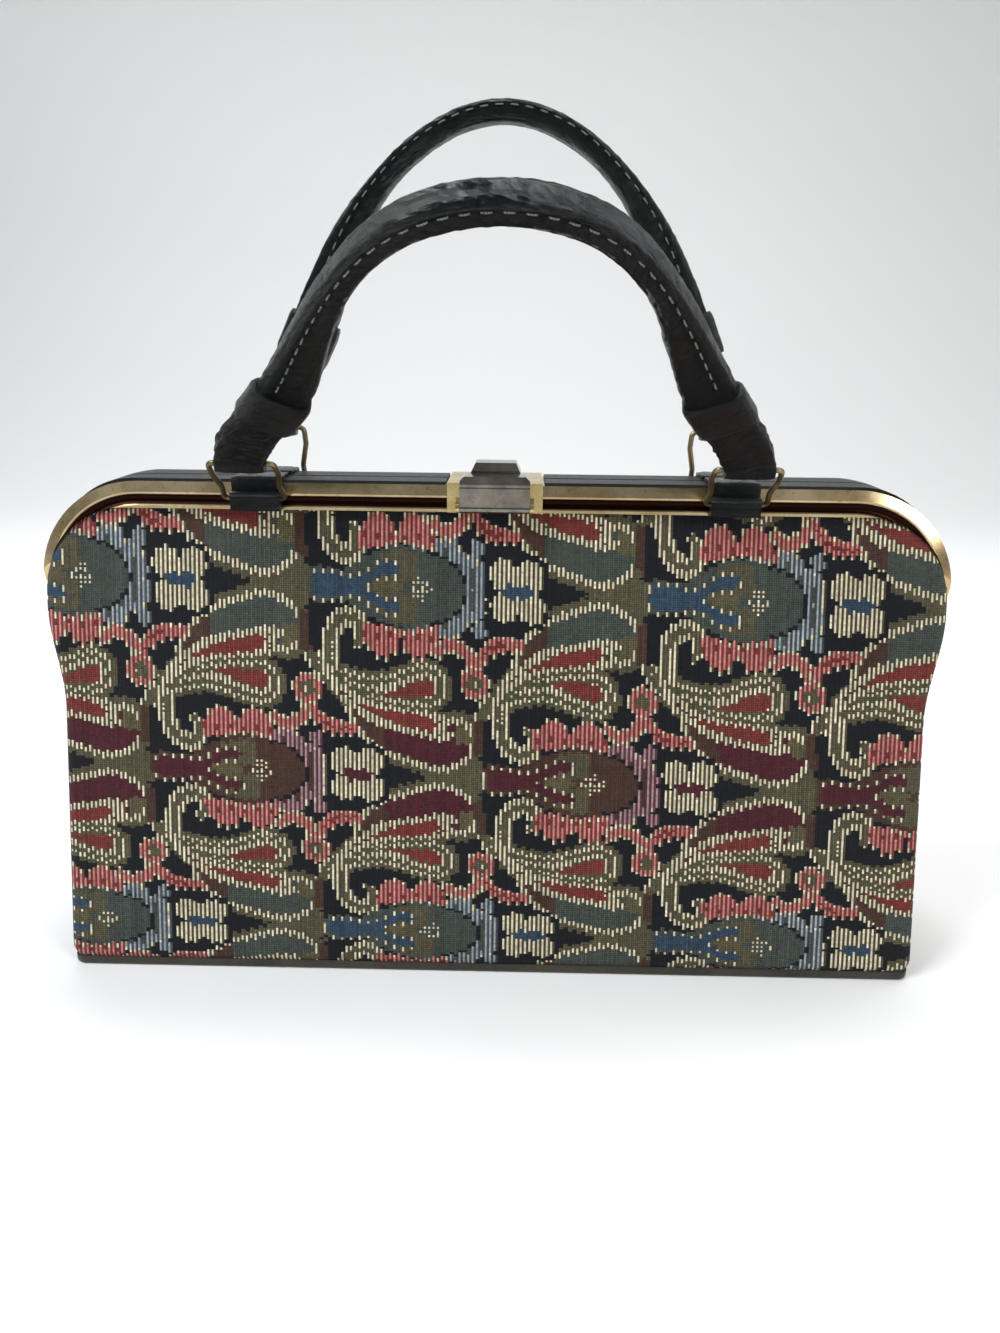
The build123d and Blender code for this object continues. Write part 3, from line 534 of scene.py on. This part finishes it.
def metal(name, light, dark, roughness, cove_tarnish_and_reflection=None):
    """A worn polished metal. The last argument is the colour of the frame's dark groove, partly tarnish and
    partly a painted reflection of dark surroundings.
    """
    n = Nodes(name)
    place = n.place()
    cloud = n.noise(55.0, 6.0, 0.65, place)
    colour = n.ramp(cloud, [(0.35, linear(dark)), (0.6, linear(light))])
    specks = n.ramp(n.noise(900.0, 2.0, 0.5, place), [(0.62, 0.0), (0.74, 1.0)])
    colour = n.mix(n.math("MULTIPLY", specks, 0.35), colour, (*linear("3a2a1c"), 1))
    rough = n.math("ADD", roughness, n.math("MULTIPLY", cloud, 0.12))
    if cove_tarnish_and_reflection:
        # The ramp runs over the first 10 mm in from the frame's outer line. The dark groove it paints is
        # partly tarnish, partly a painted reflection of the dark surroundings
        depth = n.math("MULTIPLY", arch_distance(n), 1 / MM / 10)
        groove = n.ramp(depth, [(0.0, 0.0), (0.40, 0.0), (0.43, 1.0), (0.72, 1.0), (0.75, 0.25), (0.9, 0.25)])
        colour = n.mix(groove, colour, (*linear(cove_tarnish_and_reflection), 1))
        rough = n.math("ADD", rough, n.math("MULTIPLY", groove, 0.12))
    scratches = n.noise(420.0, 3.0, 0.6, n.place((0.15, 1, 1)))
    return n.finish(Base_Color=colour, Metallic=1.0, Roughness=rough,
                    Normal=n.bump(scratches, 0.00004, 0.35))


# The frame's dark groove colour: partly tarnish, partly a painted reflection
frame_gold = metal("frame_gold", "e0caa0", "bda578", 0.14, cove_tarnish_and_reflection="1f0f0b")
plate_gold = metal("plate_gold", "d8c593", "b6a068", 0.22)
nickel = metal("clasp_nickel", "a39a8f", "5f5750", 0.1)
steel = metal("spring_steel", "a8a8a6", "8c8c8a", 0.3)
wire = metal("ring_wire", "8d7f62", "5f523a", 0.3)


def dress(names, material):
    for name in names:
        nodes[name].data.materials.clear()
        nodes[name].data.materials.append(material)


dress(["front_frame", "back_frame"], frame_gold)
dress(["clasp_plate", "keeper_plate", "left_hinge_rivet", "right_hinge_rivet"], plate_gold)
dress(["clasp_lever", "clasp_keeper", "clasp_pin"], nickel)
dress(["clasp_spring"], steel)
dress([f"{half}_ring_{end}" for half, end in FOUR_CORNERS], wire)


# Leather
def leather(name, crinkle, gloss, shine):
    """Black glazed leather. crinkle is the depth of its creases in millimetres, gloss its least roughness."""
    n = Nodes(name)
    place = n.place()
    warp = n.add("ShaderNodeTexNoise", {"Vector": place, "Scale": 160.0, "Detail": 3.0})
    bent = n.add("ShaderNodeMix", {"Factor": 0.004}, data_type="VECTOR")
    vectors = [s for s in bent.inputs if s.type == "VECTOR"]
    n.put(vectors[0], place)
    n.put(vectors[1], warp.outputs["Color"])
    moved = [s for s in bent.outputs if s.type == "VECTOR"][0]
    cells = n.add("ShaderNodeTexVoronoi", {"Vector": moved, "Scale": 260.0}, feature="DISTANCE_TO_EDGE")
    folds = n.math("MINIMUM", cells.outputs["Distance"], 0.16)
    broad = n.noise(110.0, 3.0, 0.5, place)
    middle = n.noise(420.0, 2.0, 0.5, place)
    height = n.math("ADD", n.math("MULTIPLY", folds, 2.2), n.math("MULTIPLY", broad, 1.6))
    height = n.math("ADD", height, n.math("MULTIPLY", middle, 0.5))
    worn = n.ramp(broad, [(0.3, linear("060708")), (0.7, linear("0f1112"))])
    rough = n.math("ADD", gloss, n.math("MULTIPLY", middle, 0.12))
    return n.finish(Base_Color=worn, Roughness=rough, Specular_IOR_Level=shine,
                    Normal=n.bump(height, crinkle * MM, 0.8))


strap_leather = leather("strap_leather", 1.0, 0.13, 0.38)
strip_leather = leather("strip_leather", 0.1, 0.3, 0.2)
dress([f"{half}_strip_{end}" for half, end in FOUR_CORNERS], strip_leather)


def thread_material():
    n = Nodes("stitch_thread")
    twist = n.add("ShaderNodeTexWave", {"Vector": n.place(), "Scale": 900.0}, bands_direction="DIAGONAL")
    # Painted light and shade: the thread lighter on the ridges of its twist and darker in its grooves, from
    # the same waves as its bump
    colour = n.ramp(twist.outputs["Fac"], [(0.2, linear("3e4340")), (0.8, linear("7c827d"))])
    return n.finish(Base_Color=colour, Roughness=0.7, Normal=n.bump(twist.outputs["Fac"], 0.0001, 0.6))


stitch_thread = thread_material()

# Middle lines of the two handles above the ring pivots, their tops, and how far each has settled to one side
FRONT_BOW, FRONT_APEX = [(61.0, 50.0), (46.5, 80.0), (20.5, 114.5)], 120.0
BACK_BOW, BACK_APEX = [(66.0, 47.0), (51.5, 80.0), (25.5, 110.0)], 118.5
FRONT_SHIFT, BACK_SHIFT = 3.0, 1.5
START_SLOPE = 0.2
STATION = 1.5
STRAP_WIDE, STRAP_THICK = 15.0, 5.0
GRIP_WIDE, GRIP_DEEP = 6.8, 9.6
FLAT_LENGTH, ROLLED_FROM = 34.0, 96.0
BAND_START, BAND_LENGTH, BAND_LEATHER = 25.0, 14.5, 1.4
SEAM_ACROSS = 0.2
STITCH_LENGTH, STITCH_PITCH, STITCH_RADIUS = 2.4, 4.6, 0.24
TAB_WIDE, TAB_LEATHER, TAB_HOLE, TAB_LIP = 16.0, 1.3, 0.96, 13.9


def spline(points, first, last):
    """A smooth curve through the points, leaving and arriving along two given directions."""
    points = np.asarray(points, float)
    t = np.concatenate([[0], np.cumsum(np.linalg.norm(np.diff(points, axis=0), axis=1))])
    h = np.diff(t)
    count = len(points)
    matrix = np.zeros((count, count))
    side = np.zeros_like(points)
    matrix[0, 0] = matrix[-1, -1] = 1
    side[0], side[-1] = first, last
    for i in range(1, count - 1):
        matrix[i, i - 1:i + 2] = h[i], 2 * (h[i - 1] + h[i]), h[i - 1]
        side[i] = 3 * (h[i] * (points[i] - points[i - 1]) / h[i - 1]
                       + h[i - 1] * (points[i + 1] - points[i]) / h[i])
    slope = np.linalg.solve(matrix, side)

    def at(value):
        value = np.clip(value, 0, t[-1])
        i = np.clip(np.searchsorted(t, value, side="right") - 1, 0, count - 2)
        u = ((value - t[i]) / h[i])[:, None]
        step = h[i][:, None]
        return ((2 * u ** 3 - 3 * u ** 2 + 1) * points[i] + (u ** 3 - 2 * u ** 2 + u) * step * slope[i]
                + (3 * u ** 2 - 2 * u ** 3) * points[i + 1] + (u ** 3 - u ** 2) * step * slope[i + 1])
    return at, t[-1]


def bow(points, apex, shift):
    """Evenly spaced points of a handle's middle line, across and up, with the directions along it."""
    whole = [(-TAB_X, RING_H)] + [(-x + shift * z / apex, z) for x, z in points] + [(shift, apex)]
    whole += [(x + shift * z / apex, z) for x, z in reversed(points)] + [(TAB_X, RING_H)]
    start = np.array([START_SLOPE, 1.0]) / math.hypot(START_SLOPE, 1)
    at, end = spline(whole, start, start * (1, -1))
    fine = at(np.linspace(0, end, 3000))
    length = np.concatenate([[0], np.cumsum(np.linalg.norm(np.diff(fine, axis=0), axis=1))])
    stations = np.linspace(0, length[-1], int(length[-1] / STATION))
    line = np.stack([np.interp(stations, length, fine[:, i]) for i in (0, 1)], axis=-1)
    along = np.gradient(line, axis=0)
    return line, along / np.linalg.norm(along, axis=1)[:, None], stations


def wrinkle(spot, across, seed):
    """How far the leather is raised at a place along the strap and round it, in millimetres."""
    folds = noise.noise(Vector((spot * 0.045, across * 1.9, seed)))
    creases = noise.noise(Vector((spot * 0.42, across * 5.5, seed + 9)))
    pebbles = noise.noise(Vector((spot * 1.1, across * 13, seed + 21)))
    return 0.42 * folds + 0.26 * creases + 0.14 * pebbles


def section(width, depth, count):
    """Points round a rounded strap section, starting at its outer edge, with their angles."""
    a = np.linspace(0, 2 * math.pi, count, endpoint=False)
    power = 0.55
    return (width / 2 * np.sign(np.cos(a)) * np.abs(np.cos(a)) ** power,
            depth / 2 * np.sign(np.sin(a)) * np.abs(np.sin(a)) ** power, a)


def tube_faces(rows, count, closed=False):
    """The faces between rings of points. A closed tube joins its last ring to its first."""
    faces = []
    for i in range(rows if closed else rows - 1):
        for j in range(count):
            k, i2 = (j + 1) % count, (i + 1) % rows
            faces.append((i * count + j, i * count + k, i2 * count + k, i2 * count + j))
    return faces


def end_caps(rows, count, base=0):
    return [tuple(base + j for j in range(count))[::-1],
            tuple(base + (rows - 1) * count + j for j in range(count))]


def tilt(points, side, lean):
    """From a handle's upright frame to its place on the bag, leaning away from the middle."""
    points = np.asarray(points, float)
    angle = math.radians(lean)
    y = points[:, 1] * math.cos(angle) + side * points[:, 2] * math.sin(angle)
    z = points[:, 2] * math.cos(angle) - side * points[:, 1] * math.sin(angle)
    return np.stack([points[:, 0], side * RING_Y + y, RING_Z + z], axis=-1)


def strap_size(distance, whole):
    """The strap's width and thickness at a distance along it: flat at its ends, rolled in the grip."""
    end = np.minimum(distance, whole - distance)
    rolled = smooth(end, FLAT_LENGTH, ROLLED_FROM)
    return STRAP_WIDE + (GRIP_WIDE - STRAP_WIDE) * rolled, STRAP_THICK + (GRIP_DEEP - STRAP_THICK) * rolled


def handle(name, line, along, stations, side, lean, seed):
    """A padded leather strap, flat and wrinkled at its ends, rolled round in the grip."""
    whole = stations[-1]
    count = 40
    out = []
    for i in range(2, len(line) - 2):
        wide, deep = strap_size(stations[i], whole)
        end = min(stations[i], whole - stations[i])
        x, y, a = section(wide, deep, count)
        slack = 1.0 + 1.4 * (1 - smooth(end, 18, 30))
        for j in range(count):
            raised = wrinkle(stations[i], math.cos(a[j]) + 2 * math.sin(a[j]), seed) * slack
            # A shallow channel where the seam draws the flat leather in
            seam = 0.35 * math.exp(-((x[j] + wide * SEAM_ACROSS) / 1.1) ** 2) * (abs(math.sin(a[j])) > 0.5)
            size = 1 + (raised - seam) / max(4.0, math.hypot(x[j], y[j]))
            px = line[i][0] + x[j] * size * along[i][1]
            pz = line[i][1] - x[j] * size * along[i][0]
            out.append((px, y[j] * size, pz))
    rows = len(out) // count
    faces = tube_faces(rows, count) + end_caps(rows, count)
    return mesh_object(name, tilt(out, side, lean), faces, strap_leather)


def strap_loops(name, side, lean, seed):
    """The leather loops round the rings' upper bars."""
    rings, turns = 30, 28
    points, faces = [], []
    for centre in (-TAB_X, TAB_X):
        base = len(points)
        for i in range(rings + 1):
            x = (i / rings - 0.5) * STRAP_WIDE
            tuck = 1 - 0.12 * abs(2 * i / rings - 1) ** 6
            for j in range(turns):
                a = 2 * math.pi * j / turns
                r = EYE_RADIUS * tuck + 0.35 * wrinkle(a * 4, x * 0.5, seed + 40)
                points.append((centre + x, r * math.cos(a), RING_H + r * math.sin(a)))
        faces += [tuple(base + v for v in f) for f in tube_faces(rings + 1, turns)]
        faces += end_caps(rings + 1, turns, base)
    return mesh_object(name, tilt(points, side, lean), faces, strap_leather)


def stitches(name, line, along, stations, side, lean):
    """Short raised threads along the seam on both faces of the strap."""
    whole = stations[-1]
    rings, turns = 5, 6
    points, faces = [], []
    spot = BAND_START + BAND_LENGTH + 5
    while spot < whole - BAND_START - BAND_LENGTH - 5:
        end = min(spot, whole - spot)
        wide, deep = strap_size(spot, whole)
        for face in (-1, 1):
            base = len(points)
            for k in range(rings):
                d = spot + (k / 4 - 0.5) * STITCH_LENGTH
                at = [np.interp(d, stations, line[:, i]) for i in (0, 1)]
                go = [np.interp(d, stations, along[:, i]) for i in (0, 1)]
                lift = deep / 2 + 0.05 + 0.22 * math.sin(math.pi * k / 4)
                lift -= 0.5 * smooth(end, FLAT_LENGTH, ROLLED_FROM)
                for j in range(turns):
                    b = 2 * math.pi * j / turns
                    x = -wide * SEAM_ACROSS + STITCH_RADIUS * math.cos(b)
                    y = face * (lift + STITCH_RADIUS * math.sin(b))
                    points.append((at[0] + x * go[1], y, at[1] - x * go[0]))
            faces += [tuple(base + v for v in f) for f in tube_faces(rings, turns)]
            faces += end_caps(rings, turns, base)
        spot += STITCH_PITCH
    return mesh_object(name, tilt(points, side, lean), faces, stitch_thread)


def band(name, end, line, along, stations, side, lean, seed):
    """A leather band round the doubled strap, its edges turned and its face creased."""
    whole = stations[-1]
    count, rows = 40, 13
    points = []
    start = BAND_START if end < 0 else whole - BAND_START - BAND_LENGTH
    spots = start + BAND_LENGTH * np.linspace(0, 1, rows)
    for skin in (0, 1):
        for i, d in enumerate(spots if skin == 0 else spots[::-1]):
            at = [np.interp(d, stations, line[:, k]) for k in (0, 1)]
            go = [np.interp(d, stations, along[:, k]) for k in (0, 1)]
            wide, deep = strap_size(d, whole)
            edge = abs(2 * i / (rows - 1) - 1) ** 8
            grow = (BAND_LEATHER - 0.45 * edge) if skin == 0 else 0.25
            x, y, a = section(wide + 2 * grow, deep + 2 * grow, count)
            for j in range(count):
                raised = 0.5 * wrinkle(d * 1.6, math.cos(a[j]) + 2 * math.sin(a[j]), seed) if skin == 0 else 0
                size = 1 + raised / max(4.0, math.hypot(x[j], y[j]))
                points.append((at[0] + x[j] * size * go[1], y[j] * size, at[1] - x[j] * size * go[0]))
    faces = tube_faces(2 * rows, count, closed=True)
    return mesh_object(name, tilt(points, side, lean), faces, strap_leather)


def tab(name, side, centre, seed):
    """A leather tab folded round a ring's lower bar, over the frame to its seam."""
    under = FRAME_TOP + 0.9
    over = under + TAB_LEATHER
    front = -TAB_LIP - TAB_LEATHER
    radius = TAB_HOLE + TAB_LEATHER
    outer = [(-1.65, over), (front + 0.8, over), (front, over - 0.8), (front, RING_Z + 2.4)]
    for k in range(9):
        a = math.radians(70 + 150 * k / 8)
        outer.append((-RING_Y + radius * math.cos(a), RING_Z + radius * math.sin(a)))
    outer += [(-RING_Y - radius + 0.15, BEND_Z + 1.2), (-RING_Y - radius + 0.5, BEND_Z + 0.05)]
    inner = [(-1.65, under + 0.02), (-TAB_LIP - 0.02, under + 0.02), (-TAB_LIP - 0.02, BEND_Z + 0.05)]
    loop = outer + inner[::-1]
    columns = 23
    points = []
    for i in range(columns):
        x = (i / (columns - 1) - 0.5) * TAB_WIDE
        tuck = 0.5 * abs(2 * i / (columns - 1) - 1) ** 8
        for k, (y, z) in enumerate(loop):
            outside = k < len(outer)
            raised = 0.45 * wrinkle(k * 3.0, x * 0.3, seed) - tuck if outside and k > 0 else 0
            points.append((centre + x, -side * (y - 0.6 * raised if outside and k > 2 else y),
                           z + (raised if outside and k < 3 else 0)))
    count = len(loop)
    return mesh_object(name, points, tube_faces(columns, count) + end_caps(columns, count), strap_leather)


HANDLES = (
    ("front", -1, FRONT_BOW, FRONT_APEX, FRONT_SHIFT, FRONT_LEAN, 3.0),
    ("back", 1, BACK_BOW, BACK_APEX, BACK_SHIFT, BACK_LEAN, 57.0))
for half, side, points, apex, shift, lean, seed in HANDLES:
    line, along, stations = bow(points, apex, shift)
    body = handle(half + "_strap", line, along, stations, side, lean, seed)
    eyes = strap_loops(half + "_strap_loops", side, lean, seed)
    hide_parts(half + "_handle")
    seam = stitches(half + "_stitches", line, along, stations, side, lean)
    for piece in (body, eyes, seam):
        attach(piece, half + "_grip")
    for end, word in ENDS:
        # Each random surface has a seed of its own
        keeper = band(f"{half}_keeper_{word}", end, line, along, stations, side, lean, seed + 70 + end)
        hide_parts(f"{half}_band_{word}")
        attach(keeper, half + "_grip")
        fold = tab(f"{half}_ring_tab_{word}", side, end * TAB_X, seed + 90 + end)
        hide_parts(f"{half}_tab_{word}")
        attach(fold, half + "_half")


# Cloth without a pattern
LINING_FOOT, LINING_TAPER, FLOOR_X, FLOOR_Y = 138.6, 13.0, 276, 77.5


def plain_cloth(name, light, dark):
    n = Nodes(name)
    place = n.place()
    waves = [n.add("ShaderNodeTexWave", {"Vector": place, "Scale": 500.0}, bands_direction=d).outputs["Fac"]
             for d in ("X", "Z")]
    weave = n.math("MULTIPLY", waves[0], waves[1])
    colour = n.ramp(n.noise(60.0, 5.0, 0.6, place), [(0.3, linear(dark)), (0.7, linear(light))])
    return n.finish(Base_Color=colour, Roughness=0.9, Sheen_Weight=0.2, Normal=n.bump(weave, 0.0001, 0.6))


lining_cloth = plain_cloth("lining_cloth", "1c1b1d", "0e0e10")
fold_cloth = plain_cloth("fold_cloth", "3a3426", "211e17")
dress(["base_panel"], fold_cloth)


def grid_sheet(name, points, thickness, material):
    """A sheet with two skins from a grid of points, thickened along its own normals."""
    points = np.asarray(points, float)
    rows, cols = points.shape[:2]
    du = np.gradient(points, axis=1)
    dv = np.gradient(points, axis=0)
    normal = np.cross(du, dv)
    normal /= np.maximum(np.linalg.norm(normal, axis=2), 1e-9)[..., None]
    skins = np.concatenate([(points + normal * thickness / 2).reshape(-1, 3),
                            (points - normal * thickness / 2).reshape(-1, 3)])
    size = rows * cols
    at = np.arange(size).reshape(rows, cols)
    quads = np.stack([at[:-1, :-1], at[:-1, 1:], at[1:, 1:], at[1:, :-1]], axis=-1).reshape(-1, 4)
    faces = [tuple(q) for q in quads] + [tuple(q[::-1] + size) for q in quads]
    border = list(at[0, :-1]) + list(at[:-1, -1]) + list(at[-1, :0:-1]) + list(at[:0:-1, 0])
    for i, a in enumerate(border):
        b = border[(i + 1) % len(border)]
        faces.append((a, a + size, b + size, b))
    return mesh_object(name, skins, faces, material)


def gusset_half(name, end, side):
    """One half of the cloth gusset at an end, folded inwards more and more towards the frame."""
    rows, cols = 46, 14
    points = np.zeros((rows, cols, 3))
    for i in range(rows):
        z = FOOT_Z + 0.4 + (GUSSET_TOP - FOOT_Z - 0.4) * i / (rows - 1)
        edge = BASE_X + (SIDE_X - BASE_X) * smooth(z, WAIST_Z, FLARE_END) - 1.5 - 1.2 * i / (rows - 1)
        fold = 1.0 + 8.0 * min(z / WAIST_Z, 1.0) + 3.0 * smooth(z, WAIST_Z, GUSSET_TOP)
        deep = panel_y(z) - PANEL_THICK - 0.7
        for j in range(cols):
            t = j / (cols - 1)
            sag = math.sin(t * math.pi) * 1.1 * math.sin(i / (rows - 1) * math.pi)
            x = edge - fold * (1 - t) ** 0.9 - sag
            points[i, j] = (end * x, side * (0.02 + (deep - 0.02) * t), z)
    if end * side > 0:
        points = points[:, ::-1]
    return grid_sheet(name, points, 1.2, fold_cloth), points


def lining_half(name, side):
    """One half of the sewn inner bag, open at the top, with soft vertical gathers near its mouth."""
    rows, cols = 40, 90
    points = np.zeros((rows, cols, 3))
    low, high = FOOT_Z + 0.8, FRAME_TOP - 7.8
    for i in range(rows):
        up = i / (rows - 1)
        z = low + (high - low) * up
        x_end = LINING_FOOT - LINING_TAPER * up
        deep = BASE_Y - LEAN * (z - FOOT_Z) - PANEL_THICK - 0.9
        for j in range(cols):
            # From the middle of one end, along the wall, to the middle of the other
            path = (j / (cols - 1)) * (2 * x_end + 2 * deep)
            if path < deep:
                x, y = -x_end, path
            elif path > deep + 2 * x_end:
                x, y = x_end, 2 * (deep + x_end) - path
            else:
                x, y = path - deep - x_end, deep
                gather = 0.5 * math.sin(j * 1.15) * smooth(up, 0.55, 1.0)
                y = deep - 0.5 * smooth(up, 0.55, 1.0) + gather * 0.9
            points[i, j] = (x, side * max(y, 0.05), z)
    if side < 0:
        points = points[:, ::-1]
    return grid_sheet(name, points, 0.5, lining_cloth), points


def lining_floor():
    """The lining's bottom, laid on the base and barely uneven."""
    rows, cols = 24, 60
    points = np.zeros((rows, cols, 3))
    for i in range(rows):
        for j in range(cols):
            x, y = (j / (cols - 1) - 0.5) * FLOOR_X, (i / (rows - 1) - 0.5) * FLOOR_Y
            points[i, j] = (x, y, FOOT_Z + 0.75 + 0.15 * math.sin(x * 0.11) * math.cos(y * 0.13))
    return grid_sheet("lining_floor", points, 0.5, lining_cloth), points


for end, word in ENDS:
    for half, side in HALF_SIDES:
        piece, points = gusset_half(f"{word}_gusset_{half}", end, side)
        if half == "front":
            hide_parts(word + "_gusset")
        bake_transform(piece)
floor_piece, points = lining_floor()
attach(floor_piece, "body")
for half, side in HALF_SIDES:
    piece, points = lining_half(half + "_lining", side)
    if half == "front":
        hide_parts("lining")
    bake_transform(piece)


# Stage, light and camera
def stage_floor():
    """A pale paper floor that curves up into a backdrop."""
    n = Nodes("stage_paper")
    colour = n.ramp(n.noise(3.0, 3.0, 0.5), [(0.3, linear("f1f0ee")), (0.7, linear("f6f5f3"))])
    paper = n.finish(Base_Color=colour, Roughness=0.9)
    steps = 24
    reach, curve_start, radius, width = 2000.0, 900.0, 700.0, 4000.0
    profile = [(-reach, 0.0), (curve_start, 0.0)]
    for i in range(1, steps + 1):
        a = math.pi / 2 * i / steps
        profile.append((curve_start + radius * math.sin(a), radius * (1 - math.cos(a))))
    profile.append((curve_start + radius, 2600.0))
    # Set just under the bag, so that the two don't lie in one plane
    points = [(x, y, z - 0.05) for y, z in profile for x in (-width, width)]
    faces = [(2 * i, 2 * i + 1, 2 * i + 3, 2 * i + 2) for i in range(len(profile) - 1)]
    floor = mesh_object("stage_floor", points, faces, paper)


def area_light(name, place, target, size, power, colour):
    data = bpy.data.lights.new(name, "AREA")
    data.shape = "RECTANGLE"
    data.size, data.size_y = size
    data.energy = power
    data.color = colour
    light = bpy.data.objects.new(name, data)
    light.location = place
    light.rotation_euler = (Vector(target) - Vector(place)).to_track_quat("-Z", "Y").to_euler()
    bpy.context.scene.collection.objects.link(light)


def lights():
    world = bpy.data.worlds.new("studio")
    world.use_nodes = True
    world.node_tree.nodes["Background"].inputs["Color"].default_value = (0.92, 0.96, 1.0, 1)
    world.node_tree.nodes["Background"].inputs["Strength"].default_value = 0.28
    bpy.context.scene.world = world
    area_light("sky_window", (-0.8, -0.5, 1.1), (0, 0, 0.15), (0.5, 0.7), 15, (0.88, 0.94, 1.0))
    area_light("fill", (1.0, -0.9, 0.7), (0, 0, 0.1), (0.5, 0.8), 9, (1.0, 0.97, 0.92))
    area_light("overhead", (0.1, 0.5, 1.3), (0, 0, 0.15), (1.2, 0.35), 14, (0.95, 0.98, 1.0))


def camera():
    """The photograph's viewpoint, fitted to the bag's outline."""
    place = Vector((0.0075, -0.3406, 0.2068))
    pitch, yaw, roll = (math.radians(a) for a in (-17.83, 0.92, 0.635))
    turn = Matrix.Rotation(yaw, 3, "Z")
    forward = turn @ Vector((0, math.cos(pitch), math.sin(pitch)))
    up = turn @ Vector((0, -math.sin(pitch), math.cos(pitch)))
    right = turn @ Vector((1, 0, 0))
    right, up = math.cos(roll) * right + math.sin(roll) * up, math.cos(roll) * up - math.sin(roll) * right
    data = bpy.data.cameras.new("photo_camera")
    data.sensor_fit = "VERTICAL"
    data.sensor_height = 36.0
    focal_pixels, picture_height = 1003, 1333
    data.lens = focal_pixels / picture_height * data.sensor_height
    data.clip_start = 0.01
    eye = bpy.data.objects.new("photo_camera", data)
    axes = Matrix((right, up, -forward)).transposed()
    eye.matrix_world = Matrix.Translation(place) @ axes.to_4x4()
    bpy.context.scene.collection.objects.link(eye)
    bpy.context.scene.camera = eye


stage_floor()
lights()
camera()
bpy.context.scene.view_settings.view_transform = "Standard"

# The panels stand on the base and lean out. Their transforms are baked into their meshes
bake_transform(front)
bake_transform(back)
